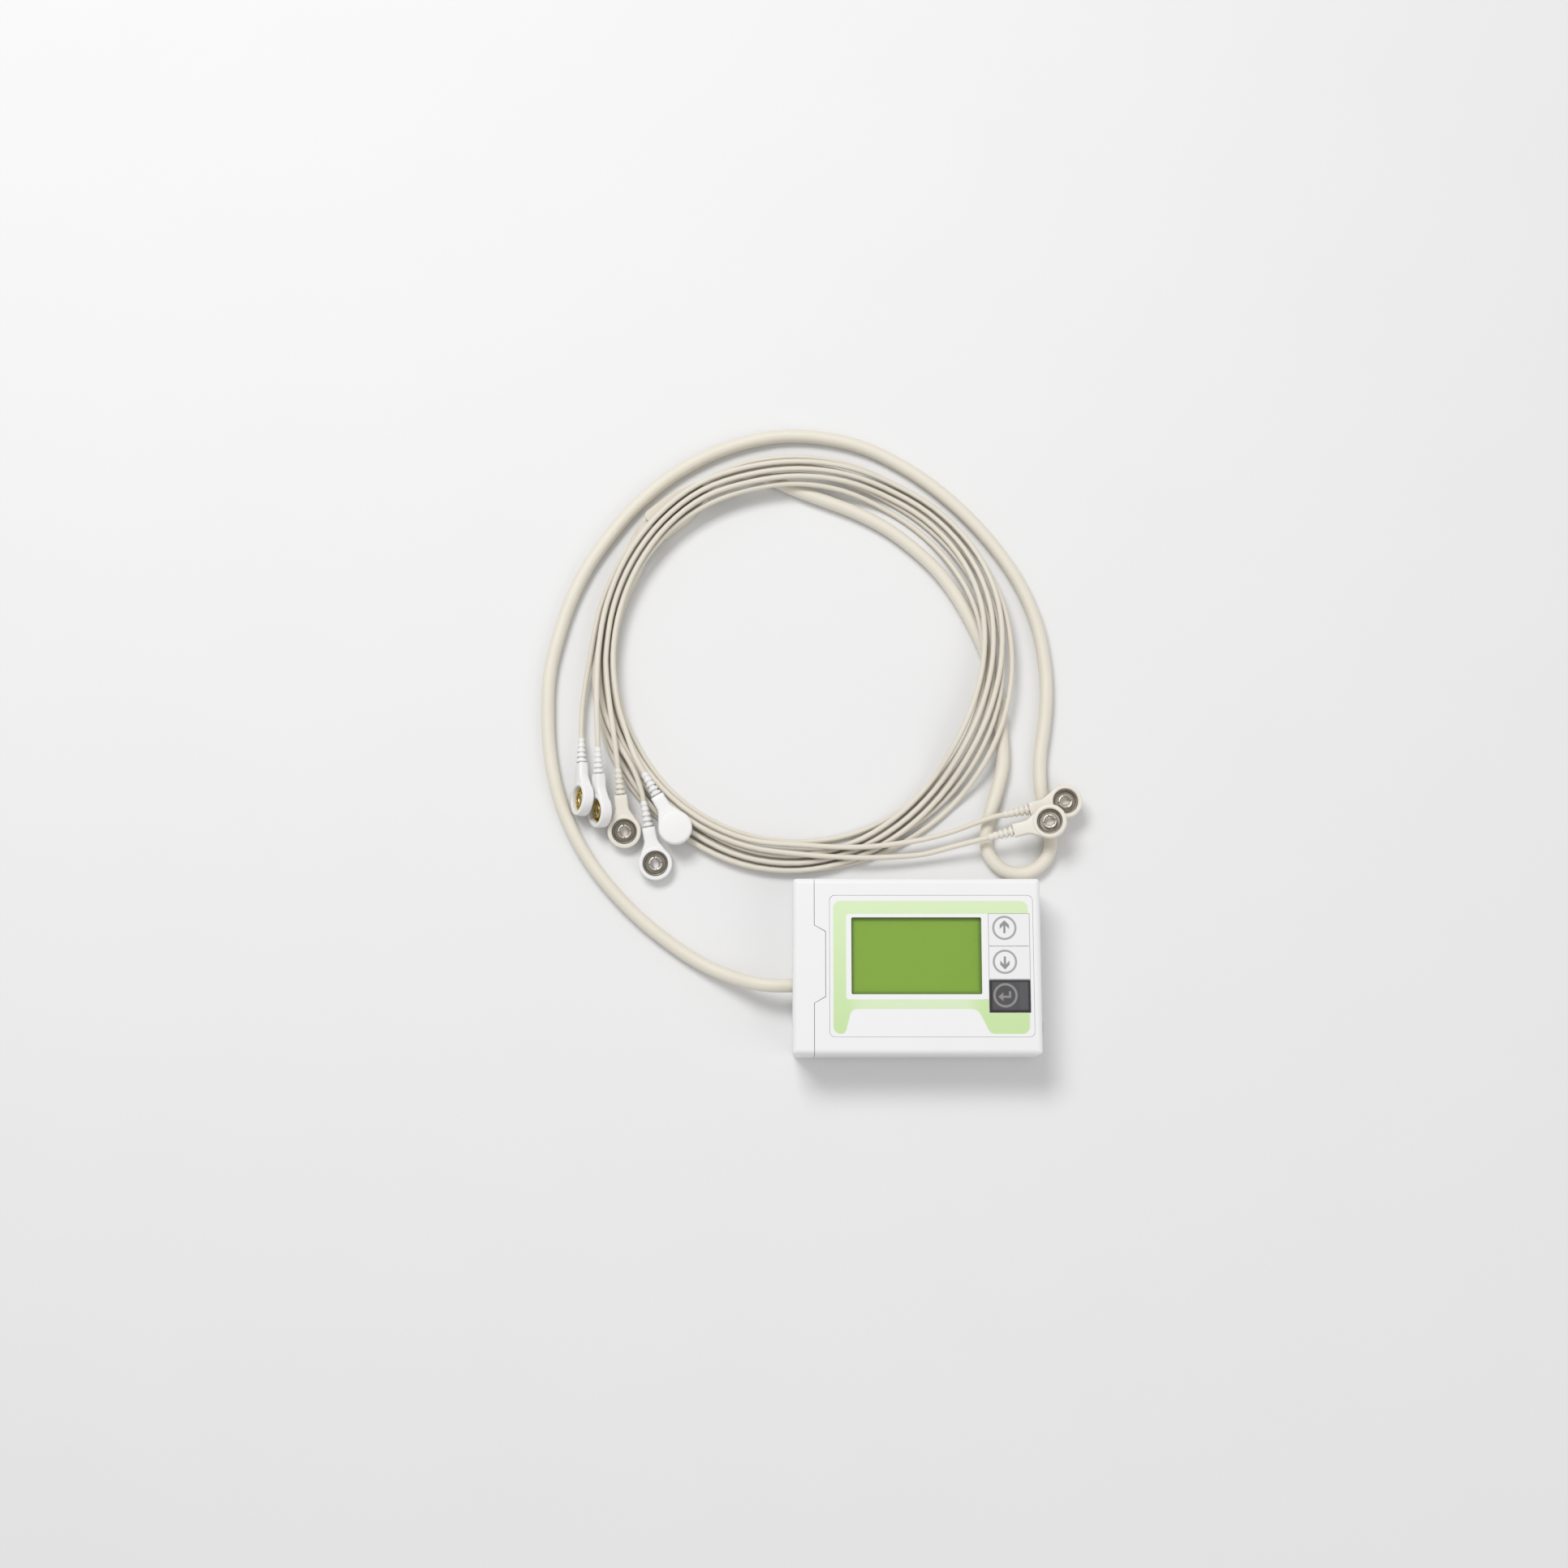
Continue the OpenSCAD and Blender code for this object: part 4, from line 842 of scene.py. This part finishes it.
def socket_meshes():
    """The pan with its rolled rim, and the slotted tube that grips the stud."""
    z0 = POCKET_FLOOR - CLIP_T / 2
    outer = POCKET_R - PAN_PLAY
    pan = [(PAN_HOLE_R, z0), (outer, z0)]
    pan += arc(outer - PAN_RIM_R, z0 + PAN_RIM_Z, PAN_RIM_R, 0, 180, 6)
    pan += [(outer - 2 * PAN_RIM_R, z0 + PAN_STEP), (outer - 3 * PAN_RIM_R, z0 + PAN_T)]
    pan += [(PAN_HOLE_R, z0 + PAN_T)]
    pan_mesh = to_mesh(lathe(pan, PAN_SIDES), "pan")
    wall = [(TUBE_R - TUBE_HALF_T, z0), (TUBE_R + TUBE_HALF_T, z0)]
    wall += arc(TUBE_R, z0 + TUBE_Z, TUBE_HALF_T, 0, 180, 6)
    tube_bm = bmesh.new()
    for k in range(TUBE_PARTS):
        start = (TUBE_TURN + TUBE_SLOT) * k + TUBE_SLOT / 2
        part = to_mesh(lathe(wall, TUBE_SIDES, start, TUBE_TURN), "part")
        tube_bm.from_mesh(part)
        bpy.data.meshes.remove(part)
    return pan_mesh, to_mesh(tube_bm, "tube")


def wire_mesh():
    """Two bowed spring wires across the tube."""
    bm = bmesh.new()
    for side in (-1, 1):
        rings = []
        for k in range(WIRE_STEPS + 1):
            t = -1 + 2 * k / WIRE_STEPS
            y = side * (WIRE_Y + WIRE_BOW * math.cos(math.pi * t))
            z = WIRE_Z - WIRE_SAG * t * t
            angles = [360 * n / WIRE_SIDES for n in range(WIRE_SIDES)]
            rings.append([bm.verts.new((WIRE_REACH * t, y + WIRE_R * cosd(a), z + WIRE_R * sind(a)))
                          for a in angles])
        skin(bm, rings)
    bmesh.ops.recalc_face_normals(bm, faces=bm.faces)
    return to_mesh(bm, "wire")


def placed(mesh, clip):
    """A copy of a mesh at a clip's place, in metres, with its sharp edges marked."""
    copy = mesh.copy()
    turn = Matrix.Translation(Vector(clip[:3]))
    for angle, axis in zip(clip[3:], "ZYX"):
        turn = turn @ Matrix.Rotation(math.radians(angle), 4, axis)
    copy.transform(Matrix.Scale(MM, 4) @ turn)
    copy.shade_smooth()
    copy.set_sharp_from_angle(angle=math.radians(SHARP))
    return copy


clip_base = clip_mesh()
pan_base, tube_base = socket_meshes()
wire_base = wire_mesh()
for i in range(LEADS):
    n, c = i + 1, CLIP_AT[i]
    socket_slot = slot_of[f"snap_socket_{n}"]
    shell_look = "clip_white" if n in WHITE_CLIPS else "clip_plastic"
    tube_look = "brass_socket" if socket_slot == "brass_socket" else "socket_tube"
    clip = new_piece(f"clip_shell_{n}", placed(clip_base, c), mats[shell_look])
    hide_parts(f"lead_clip_{n}")
    pan = new_piece(f"clip_pan_{n}", placed(pan_base, c), mats[socket_slot])
    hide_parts(f"snap_socket_{n}")
    tube = new_piece(f"clip_tube_{n}", placed(tube_base, c), mats[tube_look])
    wire = new_piece(f"clip_wire_{n}", placed(wire_base, c), mats["spring_steel"])
    for piece in (clip, pan, tube, wire):
        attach(piece, body)
    lead = leads[i]
    lead.data.materials.append(mats["lead_jacket"])
    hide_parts(f"lead_wire_{n}")
    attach(lead, body)
    lead_lines[i][0] * MM
    line_length(lead_lines[i])

trunk.data.materials.append(mats["cable_jacket"])
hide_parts("trunk_cable")
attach(trunk, body)
trunk_line[0] * MM
line_length(trunk_line)


# ---- floor, light and finish, in metres and watts ----

FLOOR_HALF, FLOOR_DROP = 3, 0.0002
AIM = (-0.04, 0.08, 0)
WORLD_LEVEL = 0.5

corners = [(x * FLOOR_HALF, y * FLOOR_HALF, 0) for x, y in ((-1, -1), (1, -1), (1, 1), (-1, 1))]
floor_mesh = bpy.data.meshes.new("floor")
floor_mesh.from_pydata(corners, [], [(0, 1, 2, 3)])
floor_paint = Paint("floor", (0.82, 0.82, 0.82), 0.7, Specular_IOR_Level=0.1)
floor_paint.mottle((0.79, 0.79, 0.795), size=60, amount=0.5)
floor_look = floor_paint.close(grain=0.8, bump=0.004, rough_swing=0.05, rough_size=20)
floor = new_piece("floor", floor_mesh, floor_look)
floor.location.z = -FLOOR_DROP


def lamp(name, place, size, power):
    data = bpy.data.lights.new(name, "AREA")
    data.shape = "RECTANGLE"
    data.size, data.size_y = size
    data.energy = power
    light = bpy.data.objects.new(name, data)
    bpy.context.scene.collection.objects.link(light)
    light.location = place
    light.rotation_euler = (Vector(AIM) - Vector(place)).to_track_quat("-Z", "Y").to_euler()


lamp("key_light", (-0.45, 0.75, 1.25), size=(0.7, 0.5), power=12)
lamp("fill_light", (0.9, -0.5, 1.1), size=(1.0, 1.0), power=3.8)
world = bpy.data.worlds.new("studio")
bpy.context.scene.world = world
world.use_nodes = True
background = world.node_tree.nodes["Background"]
background.inputs["Color"].default_value = (1, 1, 1, 1)
background.inputs["Strength"].default_value = WORLD_LEVEL
bpy.context.scene.view_settings.view_transform = "Standard"
